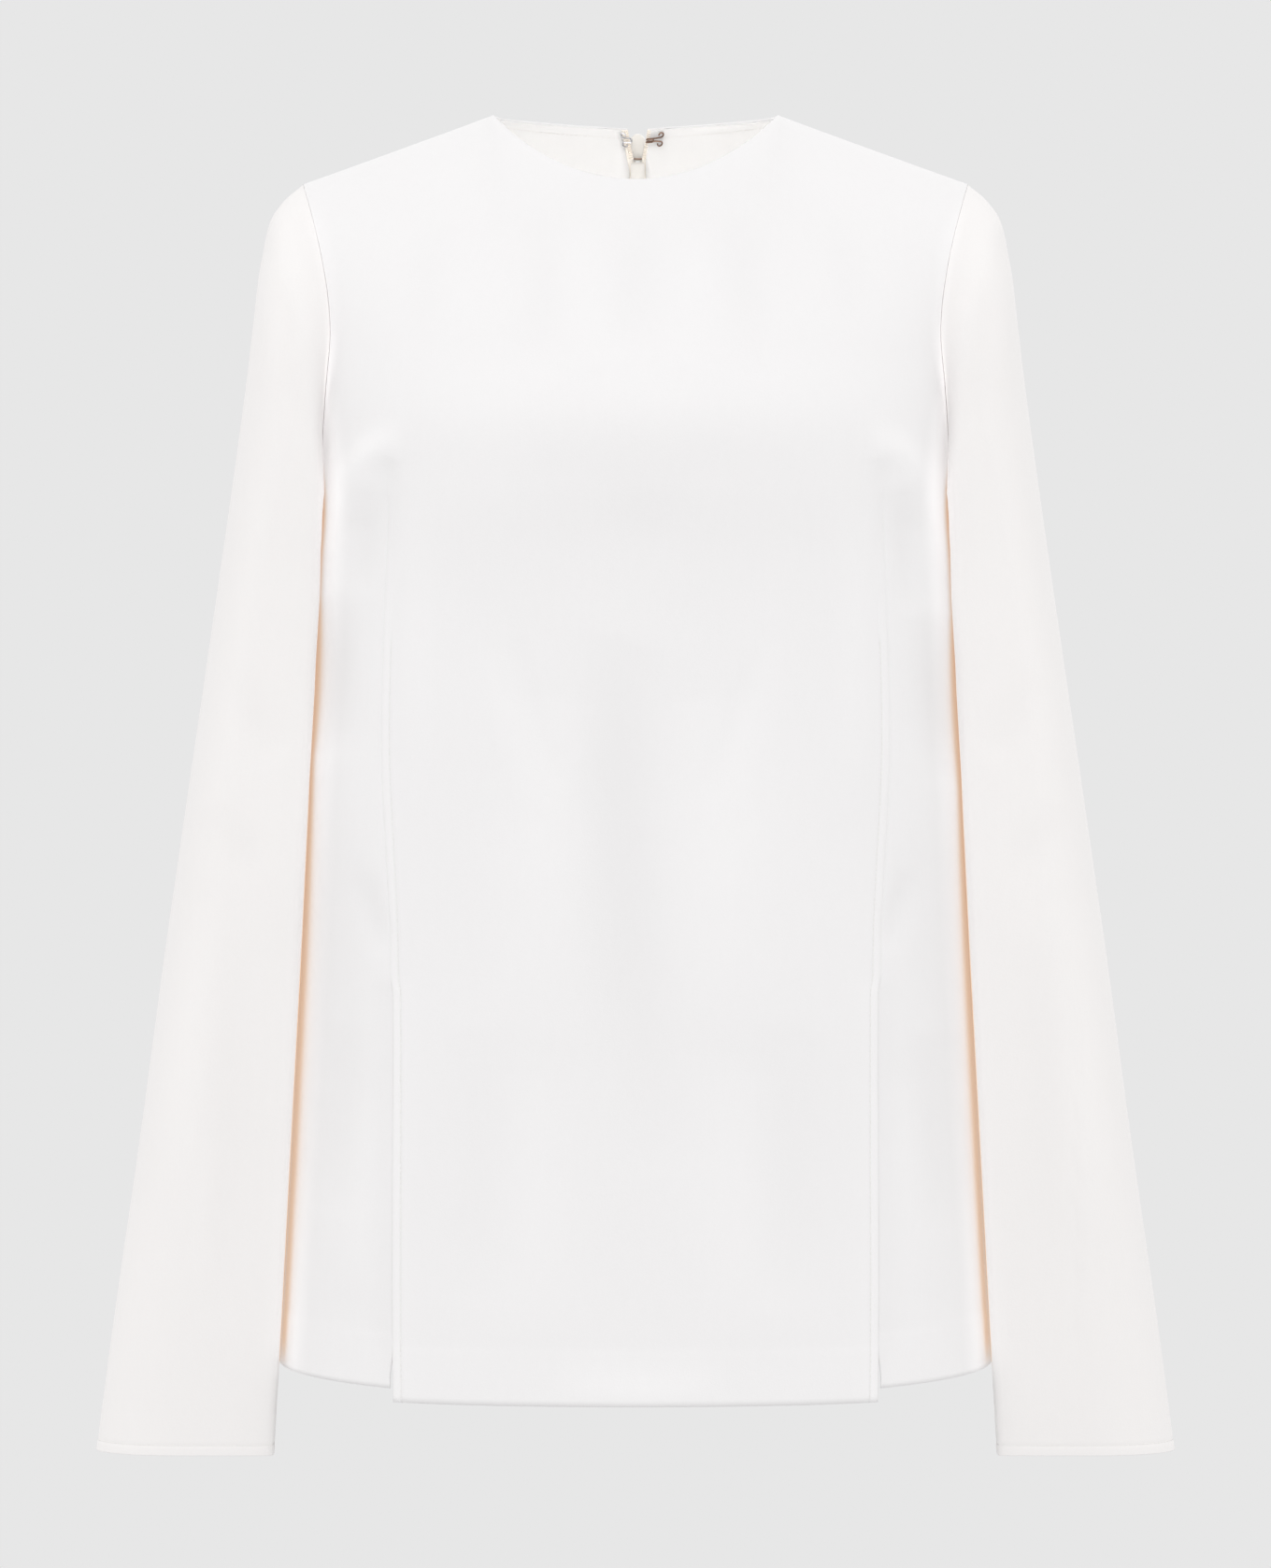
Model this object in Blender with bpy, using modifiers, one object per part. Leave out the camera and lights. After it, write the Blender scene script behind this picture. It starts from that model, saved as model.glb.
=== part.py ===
"""A woman's wool blouse, filled out as if worn: round neck, long set-in sleeves, long vertical
front darts that open into slits, and an invisible zip with a hook and eye at the back neck.

Metres, +Z up. The front faces -Y and the wearer's right side is at -X. The origin lies in the
middle of the neck opening, level with the tops of the shoulder seams.
"""

import math
from collections import namedtuple

import bmesh
import bpy
import numpy as np
from mathutils import Matrix, Vector

# ---------------------------------------------------------------- driving dimensions

WALL = 0.0012  # wool cloth
SEAM_GAP = 0.0004  # left between two panels along a seam
SEAM_ROLL = 0.0006  # narrow strip that turns each panel's edge square to the seam
LAYER_GAP = 0.0003  # between pieces that lie on each other
TAPE_GAP = 0.0005  # between the back and the zip tape, whose grids differ
SMALL_STEP = 0.002  # for slopes of the cloth's form
SMALL_SHARE = 0.01

NECK_HALF_WIDTH = 0.0763
NECK_SIDE_Y = 0.010
NECK_FRONT_Y = -0.067
NECK_FRONT_DROP = 0.043
NECK_BACK_Y = 0.066
NECK_BACK_RISE = 0.0015

SHOULDER_X = 0.178
SHOULDER_Y = 0.006
SHOULDER_Z = -0.0375

SIDE_SEAM_Y = 0.008
CHEST_Z = -0.130  # level where the armhole is narrowest across the chest
UNDERARM_Z = -0.205
ARMHOLE_FRONT_DEPTH = 0.056
ARMHOLE_BACK_DEPTH = 0.055

DART_TIP_Z = -0.2037
SLIT_TOP_Z = -0.4584
STITCH_INSET = 0.0055  # topstitching from the dart's edge
SLIT_UNDERLAP = 0.004
SLIT_STEP = 0.0009  # each side of the slit moves this far, one out and one in
STITCH_COLUMN_SHARE = 0.02  # room that the stitched strip takes from the shares beside it
HEM_CENTRE_Z = -0.677
HEM_SLIT_Z = -0.670
HEM_SIDE_Z = -0.6645
HEM_BACK_Z = -0.676

ZIP_X = 0.0012
ZIP_OPEN_HALF = 0.0059  # half the opening at the neck edge
ZIP_OPEN_END_Z = -0.0265
ZIP_END_Z = -0.235

Level = namedtuple("Level", "z half_width front back squareness dart_x")
TORSO = (
    Level(-0.090, 0.1850, 0.0960, 0.0930, 2.10, 0.1200),
    Level(-0.130, 0.1790, 0.1140, 0.1010, 2.20, 0.1250),
    Level(-0.170, 0.1715, 0.1310, 0.1060, 2.35, 0.1280),
    Level(-0.205, 0.1675, 0.1310, 0.1060, 2.50, 0.1295),
    Level(-0.240, 0.1690, 0.1270, 0.1030, 2.60, 0.1298),
    Level(-0.340, 0.1738, 0.1265, 0.0970, 2.60, 0.1320),
    Level(-0.440, 0.1785, 0.1290, 0.0990, 2.55, 0.1275),
    Level(-0.540, 0.1838, 0.1320, 0.1040, 2.50, 0.1268),
    Level(-0.640, 0.1890, 0.1360, 0.1090, 2.50, 0.1268),
    Level(-0.680, 0.1912, 0.1375, 0.1110, 2.50, 0.1262),
)

# Where the neckline meets the shoulder seam, as a share of the way across each panel
FRONT_HPS_U = 0.34
BACK_HPS_U = 0.36

# How the cloth leaves its top edge at shares of the way across: steep at the centre of the
# neck, fanned out where neckline and shoulder seam meet, level at the shoulder point
Leave = namedtuple("Leave", "share out forward up")
LEAVE_FRONT = (
    Leave(0.000, 0.0000, -0.0380, -0.0750),
    Leave(0.085, 0.0100, -0.0450, -0.0660),
    Leave(0.170, 0.0240, -0.0540, -0.0564),
    Leave(0.255, 0.0400, -0.0630, -0.0450),
    Leave(0.340, 0.0480, -0.0740, -0.0200),
    Leave(0.450, 0.0320, -0.0730, -0.0190),
    Leave(0.600, 0.0150, -0.0700, -0.0190),
    Leave(0.800, 0.0045, -0.0700, -0.0120),
    Leave(1.000, 0.0000, -0.0700, 0.0000),
)
LEAVE_BACK = (
    Leave(0.000, 0.0000, 0.0360, -0.0900),
    Leave(0.090, 0.0120, 0.0420, -0.0790),
    Leave(0.180, 0.0290, 0.0500, -0.0640),
    Leave(0.270, 0.0550, 0.0660, -0.0500),
    Leave(0.360, 0.0600, 0.0800, -0.0220),
    Leave(0.450, 0.0380, 0.0760, -0.0220),
    Leave(0.600, 0.0150, 0.0735, -0.0200),
    Leave(0.800, 0.0045, 0.0720, -0.0124),
    Leave(1.000, 0.0000, 0.0700, 0.0000),
)

# Sections of a sleeve from the armhole to the cuff. Each is a closed curve through an outermost
# point, a front one, an innermost one and a back one; all four levels meet at the cuff.
Section = namedtuple("Section", "out_x out_z in_x in_z mid_x front_y back_y")
SLEEVE = (
    Section(0.1780, -0.0375, 0.1685, -0.2050, 0.1650, -0.0500, 0.0640),
    Section(0.1895, -0.0480, 0.1693, -0.2100, 0.1690, -0.0560, 0.0700),
    Section(0.1975, -0.0640, 0.1698, -0.2150, 0.1740, -0.0590, 0.0740),
    Section(0.2040, -0.1100, 0.1702, -0.2220, 0.1810, -0.0600, 0.0770),
    Section(0.2105, -0.1600, 0.1706, -0.2340, 0.1870, -0.0590, 0.0780),
    Section(0.2190, -0.2220, 0.1712, -0.2600, 0.1945, -0.0580, 0.0760),
    Section(0.2290, -0.2930, 0.1738, -0.3050, 0.2020, -0.0590, 0.0700),
    Section(0.2385, -0.3600, 0.1768, -0.3600, 0.2080, -0.0610, 0.0620),
    Section(0.2495, -0.4400, 0.1805, -0.4400, 0.2150, -0.0630, 0.0500),
    Section(0.2625, -0.5400, 0.1858, -0.5400, 0.2245, -0.0610, 0.0330),
    Section(0.2765, -0.6400, 0.1912, -0.6400, 0.2340, -0.0560, 0.0160),
    Section(0.2860, -0.7120, 0.1955, -0.7120, 0.2408, -0.0510, 0.0090),
)

SLEEVE_ROWS = (0.0, 0.12, 0.5, 1.0, 1.5, 2.0, 2.7, 3.5, 4.5, 5.5, 6.5, 7.5, 8.5, 9.5, 11.0)
SLEEVE_FADE = 2.0  # stations over which a section takes the armhole's own shape
SLEEVE_START = 0.05  # a first short step down the sleeve, in stations
UNDERARM_CLEARANCE = 0.0008

FACING_WALL = 0.0010
FACING_LAST_ROW = 4  # the facing's lower edge, as a row of the back's grid
FACING_SHOULDER_COLUMNS = 2  # how far it runs along the shoulder seam
FACING_CORNER = (0.2, 0.6)  # rows by which the lower edge rises at its last two columns
FACING_MIN_SETBACK = 0.0044  # keeps the facing clear of the slider and chain
TAPE_WALL = 0.0005
TAPE_WIDTH = 0.010
TAPE_DROP = 0.0008  # of the tape's top below the neck edge
# How far each facing edge lies back from the zip opening's edge
FACING_SETBACK = {1: 0.0008, -1: 0.0035}

SLIDER_Z = -0.0195
SLIDER_SIZE = (0.0075, 0.0027, 0.0107)
SLIDER_RISE = 0.0029  # of the body's top above the pull's pin
SLIDER_BEVEL = 0.0006
BRIDGE_HALF_WIDTH = 0.00085
BRIDGE_HEIGHT = 0.0026
BRIDGE_RISE = 0.0002
BRIDGE_SINK = 0.0006  # into the slider's body
PIN_STAND_OFF = 0.0019
PIN_RADIUS = 0.0006
PIN_LENGTH = 0.0058
KNUCKLE_RADIUS = 0.0013
KNUCKLE_BORE = 0.0009
PULL_LENGTH = 0.0176
PULL_THICKNESS = 0.0010
PULL_BASE_HALF = 0.0029
PULL_HALF_WIDTH = 0.0039
PULL_LEAN = math.radians(3.0)
PULL_START = 0.0010  # of the flat plate above the pin
FORK_SIZE = (0.0040, 0.0040)
FORK_RISE = 0.0004
CHAIN_SIZE = (0.0050, 0.0015)

WIRE_RADIUS = 0.00045
WIRE_RING = 0.00125
HOOK_DROP = 0.0055  # of the hook and eye below the neck edge
HOOK_RING = (0.0143, 0.0025)  # centre of a sewing ring: out from the centre back, and up
HOOK_SHANK = 0.00075  # half the distance between the two shanks
HOOK_NECK = ((0.0129, 0.00104), (0.0117, 0.00084))  # the bend from ring to shank
HOOK_TIP = 0.0074
HOOK_BILL_END = 0.0098
HOOK_FOLD = 0.0008  # radius of the folded-back bill
EYE_RING = (0.0067, 0.0026)
EYE_LEG = 0.00125  # half the width of the eye's loop
EYE_END = 0.0038
RING_TURN = (190.0, -90.0)  # a ring's free end and where it runs into the leg, in degrees

# Mesh density
NECK_SEGMENTS = 6
SHOULDER_SEGMENTS = 3
SIDE_SEGMENTS = 7
BACK_NECK_SEGMENTS = 4
BACK_SIDE_SEGMENTS = 6
SLEEVE_SEGMENTS = 20
RING_SAMPLES = 181
EDGE_SAMPLES = 121

COLLECTION = "wool_blouse"
HELPERS = "cutters"

WOOL = ("ivory wool", (0.83, 0.81, 0.78, 1.0), 0.85, 0.0)
FACING = ("ivory wool facing", (0.80, 0.78, 0.74, 1.0), 0.85, 0.0)
TAPE = ("ecru zip tape", (0.78, 0.72, 0.62, 1.0), 0.8, 0.0)
CHAIN = ("cream nylon coil", (0.82, 0.77, 0.68, 1.0), 0.45, 0.0)
ENAMEL = ("cream enamelled metal", (0.86, 0.84, 0.80, 1.0), 0.35, 0.3)
BRONZE = ("dark bronze wire", (0.16, 0.10, 0.06, 1.0), 0.3, 1.0)
NICKEL = ("nickel wire", (0.72, 0.71, 0.73, 1.0), 0.25, 1.0)


# ---------------------------------------------------------------- smooth curves through tables


def through(xs, values, at):
    """Smooth values at the places asked for, through table rows at xs, which rise."""
    xs = np.asarray(xs, float)
    values = np.asarray(values, float)
    slopes = np.gradient(values, xs)
    at = np.clip(np.asarray(at, float), xs[0], xs[-1])
    k = np.clip(np.searchsorted(xs, at, side="right") - 1, 0, len(xs) - 2)
    width = xs[k + 1] - xs[k]
    t = (at - xs[k]) / width
    return hermite(values[k], values[k + 1], slopes[k] * width, slopes[k + 1] * width, t)


def hermite(start, end, leave, arrive, t):
    """Cubic from start to end with the given end slopes."""
    return (
        (2 * t**3 - 3 * t**2 + 1) * start
        + (t**3 - 2 * t**2 + t) * leave
        + (3 * t**2 - 2 * t**3) * end
        + (t**3 - t**2) * arrive
    )


def torso(column, z):
    """One column of the TORSO table at height z."""
    rows = TORSO[::-1]
    return through([r.z for r in rows], [getattr(r, column) for r in rows], z)


# ---------------------------------------------------------------- body form


def ring(z, side):
    """Half a horizontal section: points from the middle of the front or back to the side seam."""
    angle = np.linspace(0.0, math.pi / 2, RING_SAMPLES)
    depth = torso("front" if side < 0 else "back", z)
    power = torso("squareness", z)
    across = np.sin(angle) / torso("half_width", z)
    along = np.cos(angle) / depth
    radius = (np.abs(across) ** power + np.abs(along) ** power) ** (-1 / power)
    x = radius * np.sin(angle)
    y = SIDE_SEAM_Y + side * radius * np.cos(angle)
    return np.stack([x, y, np.full_like(x, z)], axis=1)


def arc_lengths(points):
    """Distance along a chain of points to each of them."""
    steps = np.linalg.norm(np.diff(points, axis=0), axis=1)
    return np.concatenate([[0.0], np.cumsum(steps)])


def along_chain(points, distance):
    """The point at a distance along a chain of points."""
    lengths = arc_lengths(points)
    return np.array([np.interp(distance, lengths, points[:, k]) for k in range(3)])


def armhole_reach(z, side):
    """How far the armhole's edge lies in front of or behind the side seam at height z."""
    depth = ARMHOLE_FRONT_DEPTH if side < 0 else ARMHOLE_BACK_DEPTH
    drop = np.clip((CHEST_Z - z) / (CHEST_Z - UNDERARM_Z), 0.0, 1.0)
    return depth * math.sqrt(1 - drop**2)


def ring_end(points, z, side):
    """Distance along a section to its end: the armhole above the underarm, the side seam below."""
    lengths = arc_lengths(points)
    reach = armhole_reach(z, side)
    depth = side * (points[:, 1] - SIDE_SEAM_Y)
    return float(np.interp(-reach, -depth, lengths))


def zip_half_gap(z):
    """Half the distance between the back's centre edges at height z."""
    rise = np.clip((z - ZIP_OPEN_END_Z) / (NECK_BACK_RISE - ZIP_OPEN_END_Z), 0.0, 1.0)
    return SEAM_GAP / 2 + (ZIP_OPEN_HALF - SEAM_GAP / 2) * rise


def front_section(z, u):
    """Front at height z: u from 0 at the centre, 1/2 on the dart line, 1 at the side."""
    points = ring(z, -1)
    end = ring_end(points, z, -1)
    dart = float(np.interp(torso("dart_x", z), points[:, 0], arc_lengths(points)))
    distance = 2 * u * dart if u < 0.5 else dart + (2 * u - 1) * (end - dart)
    return along_chain(points, distance)


def back_section(z, u):
    """Right back at height z: u from 0 at the centre back to 1 at the side."""
    points = ring(z, 1)
    end = ring_end(points, z, 1)
    return along_chain(points, u * end)


def front_top(u):
    """Neckline from the centre front (u 0) to the shoulder (HPS_U), then the shoulder seam."""
    if u < FRONT_HPS_U:
        turn = u / FRONT_HPS_U * math.pi / 2
        drop = NECK_FRONT_DROP * max(math.cos(turn), 0.0) ** 1.7
        y = NECK_SIDE_Y + (NECK_FRONT_Y - NECK_SIDE_Y) * math.cos(turn)
        return np.array([NECK_HALF_WIDTH * math.sin(turn), y, -drop])
    return shoulder_seam((u - FRONT_HPS_U) / (1 - FRONT_HPS_U))


def back_top(u):
    """Back neckline from the centre back to the shoulder, then the shoulder seam."""
    if u < BACK_HPS_U:
        turn = u / BACK_HPS_U * math.pi / 2
        y = NECK_SIDE_Y + (NECK_BACK_Y - NECK_SIDE_Y) * math.cos(turn)
        rise = NECK_BACK_RISE * math.sin(2 * turn)
        return np.array([NECK_HALF_WIDTH * math.sin(turn), y, rise])
    return shoulder_seam((u - BACK_HPS_U) / (1 - BACK_HPS_U))


def shoulder_seam(t):
    """From the neck (t 0) to the shoulder point (t 1)."""
    x = NECK_HALF_WIDTH + t * (SHOULDER_X - NECK_HALF_WIDTH)
    return np.array([x, NECK_SIDE_Y + t * (SHOULDER_Y - NECK_SIDE_Y), t * SHOULDER_Z])


def leave_top(u, side):
    """Direction in which the cloth leaves its top edge, from the LEAVE tables."""
    rows = LEAVE_FRONT if side < 0 else LEAVE_BACK
    shares = [row.share for row in rows]
    return np.array([float(through(shares, [row[k] for row in rows], u)) for k in (1, 2, 3)])


def upper(u, t, side):
    """Upper front (side -1) or back (side 1): t from 0 at the top edge to 1 at chest level."""
    top, section = (front_top, front_section) if side < 0 else (back_top, back_section)
    start = top(u)
    end = section(CHEST_Z, u)
    step = 2 * SMALL_STEP
    fall = (section(CHEST_Z - step, u) - section(CHEST_Z + step, u)) / (2 * step)
    return hermite(start, end, leave_top(u, side), fall * np.linalg.norm(end - start), t)


def dip(u, centre_z, side_z):
    """Height of a row that sinks from its centre level to its side level near the side."""
    return centre_z + (side_z - centre_z) * u**4


# ---------------------------------------------------------------- rows of the body grids

UPPER_ROWS = (0.12, 0.25, 0.40, 0.55, 0.70, 0.85)
# (centre height, side height) of each row below the chest
MID_ROWS = (
    (CHEST_Z, CHEST_Z),
    (-0.149, -0.160),
    (-0.167, -0.185),
    (-0.184, -0.199),
    (-0.195, UNDERARM_Z),
    (DART_TIP_Z, -0.213),
    (-0.238, -0.240),
    (-0.285, -0.285),
    (-0.340, -0.340),
    (-0.400, -0.400),
)
LOW_ROWS = (SLIT_TOP_Z, -0.474, -0.492, -0.545, -0.600, -0.645)


def front_hem(u, on_centre_panel):
    """Height of the front's hem."""
    if on_centre_panel:
        return HEM_CENTRE_Z
    return HEM_SLIT_Z + (HEM_SIDE_Z - HEM_SLIT_Z) * (2 * u - 1)


def back_hem(u):
    """Height of the back's hem, lowest at the centre."""
    return HEM_SIDE_Z + (HEM_BACK_Z - HEM_SIDE_Z) * (1 - u**2)


def body_rows():
    """Row list shared by front and back: ('top', distance), ('upper', t), ('ring', heights)."""
    rows = [("top", SEAM_GAP / 2), ("top", SEAM_GAP / 2 + SEAM_ROLL)]
    rows += [("upper", t) for t in UPPER_ROWS]
    rows += [("ring", pair) for pair in MID_ROWS]
    rows += [("ring", (z, z)) for z in LOW_ROWS]
    rows.append(("hem", None))
    return rows


def body_point(row, u, side, hem):
    """A point of the front or back surface on a row, at u across it."""
    kind, value = row
    if kind == "top":
        on_neck = u < (FRONT_HPS_U if side < 0 else BACK_HPS_U)
        away = leave_top(u, side) if on_neck else np.array([0.0, side, 0.0])
        return upper(u, 0.0, side) + away / np.linalg.norm(away) * value
    if kind == "upper":
        return upper(u, value, side)
    z = hem if kind == "hem" else dip(u, *value)
    return (front_section if side < 0 else back_section)(z, u)


def inset(row, u, distance, side, hem):
    """A point that lies a distance back from u along the row."""
    here = body_point(row, u, side, hem)
    step = SMALL_SHARE / 2
    there = body_point(row, u - step, side, hem)
    return here + (there - here) / np.linalg.norm(there - here) * distance


def normal_at(row, u, side):
    """Outward normal of the front or back surface."""
    low, high = max(u - SMALL_SHARE, 0.0), min(u + SMALL_SHARE, 1.0)
    across = body_point(row, high, side, HEM_SIDE_Z) - body_point(row, low, side, HEM_SIDE_Z)
    down = row_below(row, u, side) - body_point(row, u, side, HEM_SIDE_Z)
    normal = np.cross(across, down) * -side
    return normal / np.linalg.norm(normal)


def row_below(row, u, side):
    """The surface point a little below one on a row."""
    kind, value = row
    if kind == "top":
        return body_point((kind, value + SMALL_STEP), u, side, HEM_SIDE_Z)
    if kind == "upper":
        return upper(u, value + SMALL_SHARE, side)
    lower = HEM_SIDE_Z if kind == "hem" else dip(u, *value)
    return (front_section if side < 0 else back_section)(lower - SMALL_STEP, u)


# ---------------------------------------------------------------- Blender helpers


def clear_scene():
    """Start from an empty file."""
    for thing in list(bpy.data.objects):
        bpy.data.objects.remove(thing, do_unlink=True)


def collection(name):
    """A collection in the scene."""
    made = bpy.data.collections.new(name)
    bpy.context.scene.collection.children.link(made)
    return made


def material(spec):
    """A Principled material from (name, colour, roughness, metallic), made once."""
    name, colour, roughness, metallic = spec
    made = bpy.data.materials.get(name)
    if made is None:
        made = bpy.data.materials.new(name)
        made.use_nodes = True
        shader = made.node_tree.nodes["Principled BSDF"]
        shader.inputs["Base Color"].default_value = colour
        shader.inputs["Roughness"].default_value = roughness
        shader.inputs["Metallic"].default_value = metallic
    return made


def add_object(name, data, spec, smooth=True):
    """An object in the part's collection with its own material."""
    made = bpy.data.objects.new(name, data)
    bpy.data.collections[COLLECTION].objects.link(made)
    data.materials.append(material(spec))
    if smooth and hasattr(data, "shade_smooth"):
        data.shade_smooth()
    return made


def sheet(name, columns, rows, place, spec, cuts=(), mirrored=False, wall=WALL):
    """A panel: a grid placed point by point and given its wall inwards.

    place(column, row, face_column) returns a point; face_column tells the two copies of a
    point apart along the cuts, which are (column, first row) pairs that run down to the hem.
    """
    grid = bmesh.new()
    bmesh.ops.create_grid(grid, x_segments=columns, y_segments=rows, size=0.5)

    def indices(co):
        return round((co.x + 0.5) * columns), round((0.5 - co.y) * rows)

    for column, first_row in cuts:
        slit = [
            e
            for e in grid.edges
            if all(indices(v.co)[0] == column for v in e.verts)
            and min(indices(v.co)[1] for v in e.verts) >= first_row
        ]
        bmesh.ops.split_edges(grid, edges=slit)
    cell = grid.verts.layers.int.new("cell")
    targets = []
    for vert in grid.verts:
        column, row = indices(vert.co)
        vert[cell] = row * 1000 + column
        centre = sum((f.calc_center_median().x for f in vert.link_faces)) / len(vert.link_faces)
        targets.append((vert, place(column, row, (centre + 0.5) * columns)))
    for vert, point in targets:
        vert.co = Vector(point)
    mesh = bpy.data.meshes.new(name)
    grid.to_mesh(mesh)
    grid.free()
    made = add_object(name, mesh, spec)
    if mirrored:
        mirror = made.modifiers.new("other half", "MIRROR")
        mirror.merge_threshold = 0.0001
    thicken(made, wall)
    return made


def thicken(made, wall):
    """Give an open surface its wall, inwards from its outer face."""
    solidify = made.modifiers.new("wall", "SOLIDIFY")
    solidify.thickness = wall
    solidify.offset = -1.0
    solidify.use_even_offset = False


def wire(name, points, radius, spec):
    """A round wire with capped ends."""
    curve = bpy.data.curves.new(name, "CURVE")
    curve.dimensions = "3D"
    curve.bevel_depth = radius
    curve.bevel_resolution = 2
    curve.use_fill_caps = True
    spline = curve.splines.new("POLY")
    spline.points.add(len(points) - 1)
    for point, place in zip(spline.points, points):
        point.co = (*place, 1.0)
    return add_object(name, curve, spec, smooth=False)


def box_mesh(bm, size, centre):
    """Add a box to a bmesh."""
    made = bmesh.ops.create_cube(bm, size=1.0)["verts"]
    bmesh.ops.scale(bm, vec=size, verts=made)
    bmesh.ops.translate(bm, vec=centre, verts=made)
    return made


def rod_mesh(bm, radius, length, centre, segments=20):
    """Add a rod along X to a bmesh."""
    made = bmesh.ops.create_cone(
        bm,
        cap_ends=True,
        segments=segments,
        radius1=radius,
        radius2=radius,
        depth=length,
        matrix=Matrix.Translation(centre) @ Matrix.Rotation(math.pi / 2, 4, "Y"),
    )
    return made["verts"]


def solid(name, build, spec, helper=False):
    """An object from a function that fills a bmesh."""
    bm = bmesh.new()
    build(bm)
    mesh = bpy.data.meshes.new(name)
    bm.to_mesh(mesh)
    bm.free()
    if not helper:
        return add_object(name, mesh, spec, smooth=False)
    made = bpy.data.objects.new(name, mesh)
    bpy.data.collections[HELPERS].objects.link(made)
    made.hide_render = True
    made.display_type = "WIRE"
    return made


def combine(target, helper, operation):
    """Join a helper to an object, or cut it away."""
    boolean = target.modifiers.new(helper.name, "BOOLEAN")
    boolean.object = helper
    boolean.operation = operation
    boolean.solver = "EXACT"


# ---------------------------------------------------------------- front


def make_front():
    """Front in one piece, its right half mirrored; each dart line opens into a slit."""
    rows = body_rows()
    dart = NECK_SEGMENTS + SHOULDER_SEGMENTS + 1
    columns = dart + SIDE_SEGMENTS + 1
    slit_row = rows.index(("ring", (SLIT_TOP_Z, SLIT_TOP_Z)))
    seam_u = 0.5  # front_section puts the dart line here

    def across(column):
        if column <= NECK_SEGMENTS:
            return FRONT_HPS_U * column / NECK_SEGMENTS
        if column < dart - 1:
            step = (seam_u - STITCH_COLUMN_SHARE - FRONT_HPS_U) / SHOULDER_SEGMENTS
            return FRONT_HPS_U + step * (column - NECK_SEGMENTS)
        if column <= dart:
            return seam_u
        return seam_u + (1 - seam_u) * min((column - dart) / SIDE_SEGMENTS, 1.0)

    def place(column, row, face_column):
        kind = rows[row]
        u = across(column)
        on_centre = face_column < dart
        hem = front_hem(u, on_centre)
        open_slit = row > slit_row
        if column == columns:
            point = inset(kind, 1.0, SEAM_GAP / 2, -1, hem)
        elif column == columns - 1:
            point = inset(kind, 1.0, SEAM_GAP / 2 + SEAM_ROLL, -1, hem)
        elif column == dart - 1:
            point = inset_towards_centre(kind, seam_u, STITCH_INSET, hem)
        elif column == dart and open_slit and not on_centre and row > slit_row + 1:
            point = inset_towards_centre(kind, seam_u, SLIT_UNDERLAP, hem)
        elif column == dart and open_slit and row == slit_row + 1:
            away = SEAM_GAP if on_centre else -SEAM_GAP
            point = inset_towards_centre(kind, seam_u, away, hem)
        else:
            point = body_point(kind, u, -1, hem)
        if open_slit and on_centre and column in (dart, dart - 1):
            point = point + normal_at(kind, seam_u, -1) * SLIT_STEP
        if open_slit and not on_centre and column == dart:
            point = point - normal_at(kind, seam_u, -1) * SLIT_STEP
        return point

    cuts = ((dart, slit_row),)
    return sheet("front", columns, len(rows) - 1, place, WOOL, cuts, mirrored=True)


def inset_towards_centre(row, u, distance, hem):
    """A point of the front that lies a distance from u towards the centre line."""
    here = body_point(row, u, -1, hem)
    there = body_point(row, u - SMALL_SHARE, -1, hem)
    return here + (there - here) / np.linalg.norm(there - here) * distance


# ---------------------------------------------------------------- back


def make_back(name, hand):
    """Half of the back; hand is 1 at +X and -1 at -X."""
    rows = body_rows()
    columns = 1 + BACK_NECK_SEGMENTS + BACK_SIDE_SEGMENTS + 1

    def across(column):
        if column <= BACK_NECK_SEGMENTS + 1:
            return BACK_HPS_U * max(column - 1, 0) / BACK_NECK_SEGMENTS
        step = (column - 1 - BACK_NECK_SEGMENTS) / BACK_SIDE_SEGMENTS
        return BACK_HPS_U + (1 - BACK_HPS_U) * min(step, 1.0)

    def place(column, row, face_column):
        u = across(column)
        hem = back_hem(u)
        if column == columns:
            point = inset(rows[row], 1.0, SEAM_GAP / 2, 1, hem)
        elif column == columns - 1:
            point = inset(rows[row], 1.0, SEAM_GAP / 2 + SEAM_ROLL, 1, hem)
        elif column <= 1:
            point = centre_edge_point(rows[row], hand, 0.0 if column == 0 else SEAM_ROLL, hem)
        else:
            point = body_point(rows[row], u, 1, hem)
        return point * np.array([hand, 1.0, 1.0]) if column > 1 else point

    made = sheet(name, columns, len(rows) - 1, place, WOOL)
    if hand > 0:
        made.data.flip_normals()
    made.data.update()
    return Panel(made, columns, len(rows) - 1, hand)


def centre_edge_point(row, hand, away, hem):
    """A point near the back's centre edge, which stands off the zip's line."""
    point = body_point(row, 0.0, 1, hem)
    x = ZIP_X + hand * (zip_half_gap(point[2]) + away)
    return np.array([x, point[1], point[2]])


# ---------------------------------------------------------------- sleeves


def armhole(hand):
    """The closed armhole edge as one chain from the shoulder down the front and up the back."""
    steps = np.linspace(0.0, 1.0, EDGE_SAMPLES)
    edges = []
    for side in (-1, 1):
        high = [upper(1.0, t, side) for t in steps]
        section = front_section if side < 0 else back_section
        fall = np.sin(steps[1:] * math.pi / 2) * (CHEST_Z - UNDERARM_Z)
        low = [section(CHEST_Z - drop, 1.0) for drop in fall]
        edges.append(np.array(high + low))
    chain = np.concatenate([edges[0], edges[1][::-1][1:]])
    return chain * np.array([hand, 1.0, 1.0])


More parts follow.
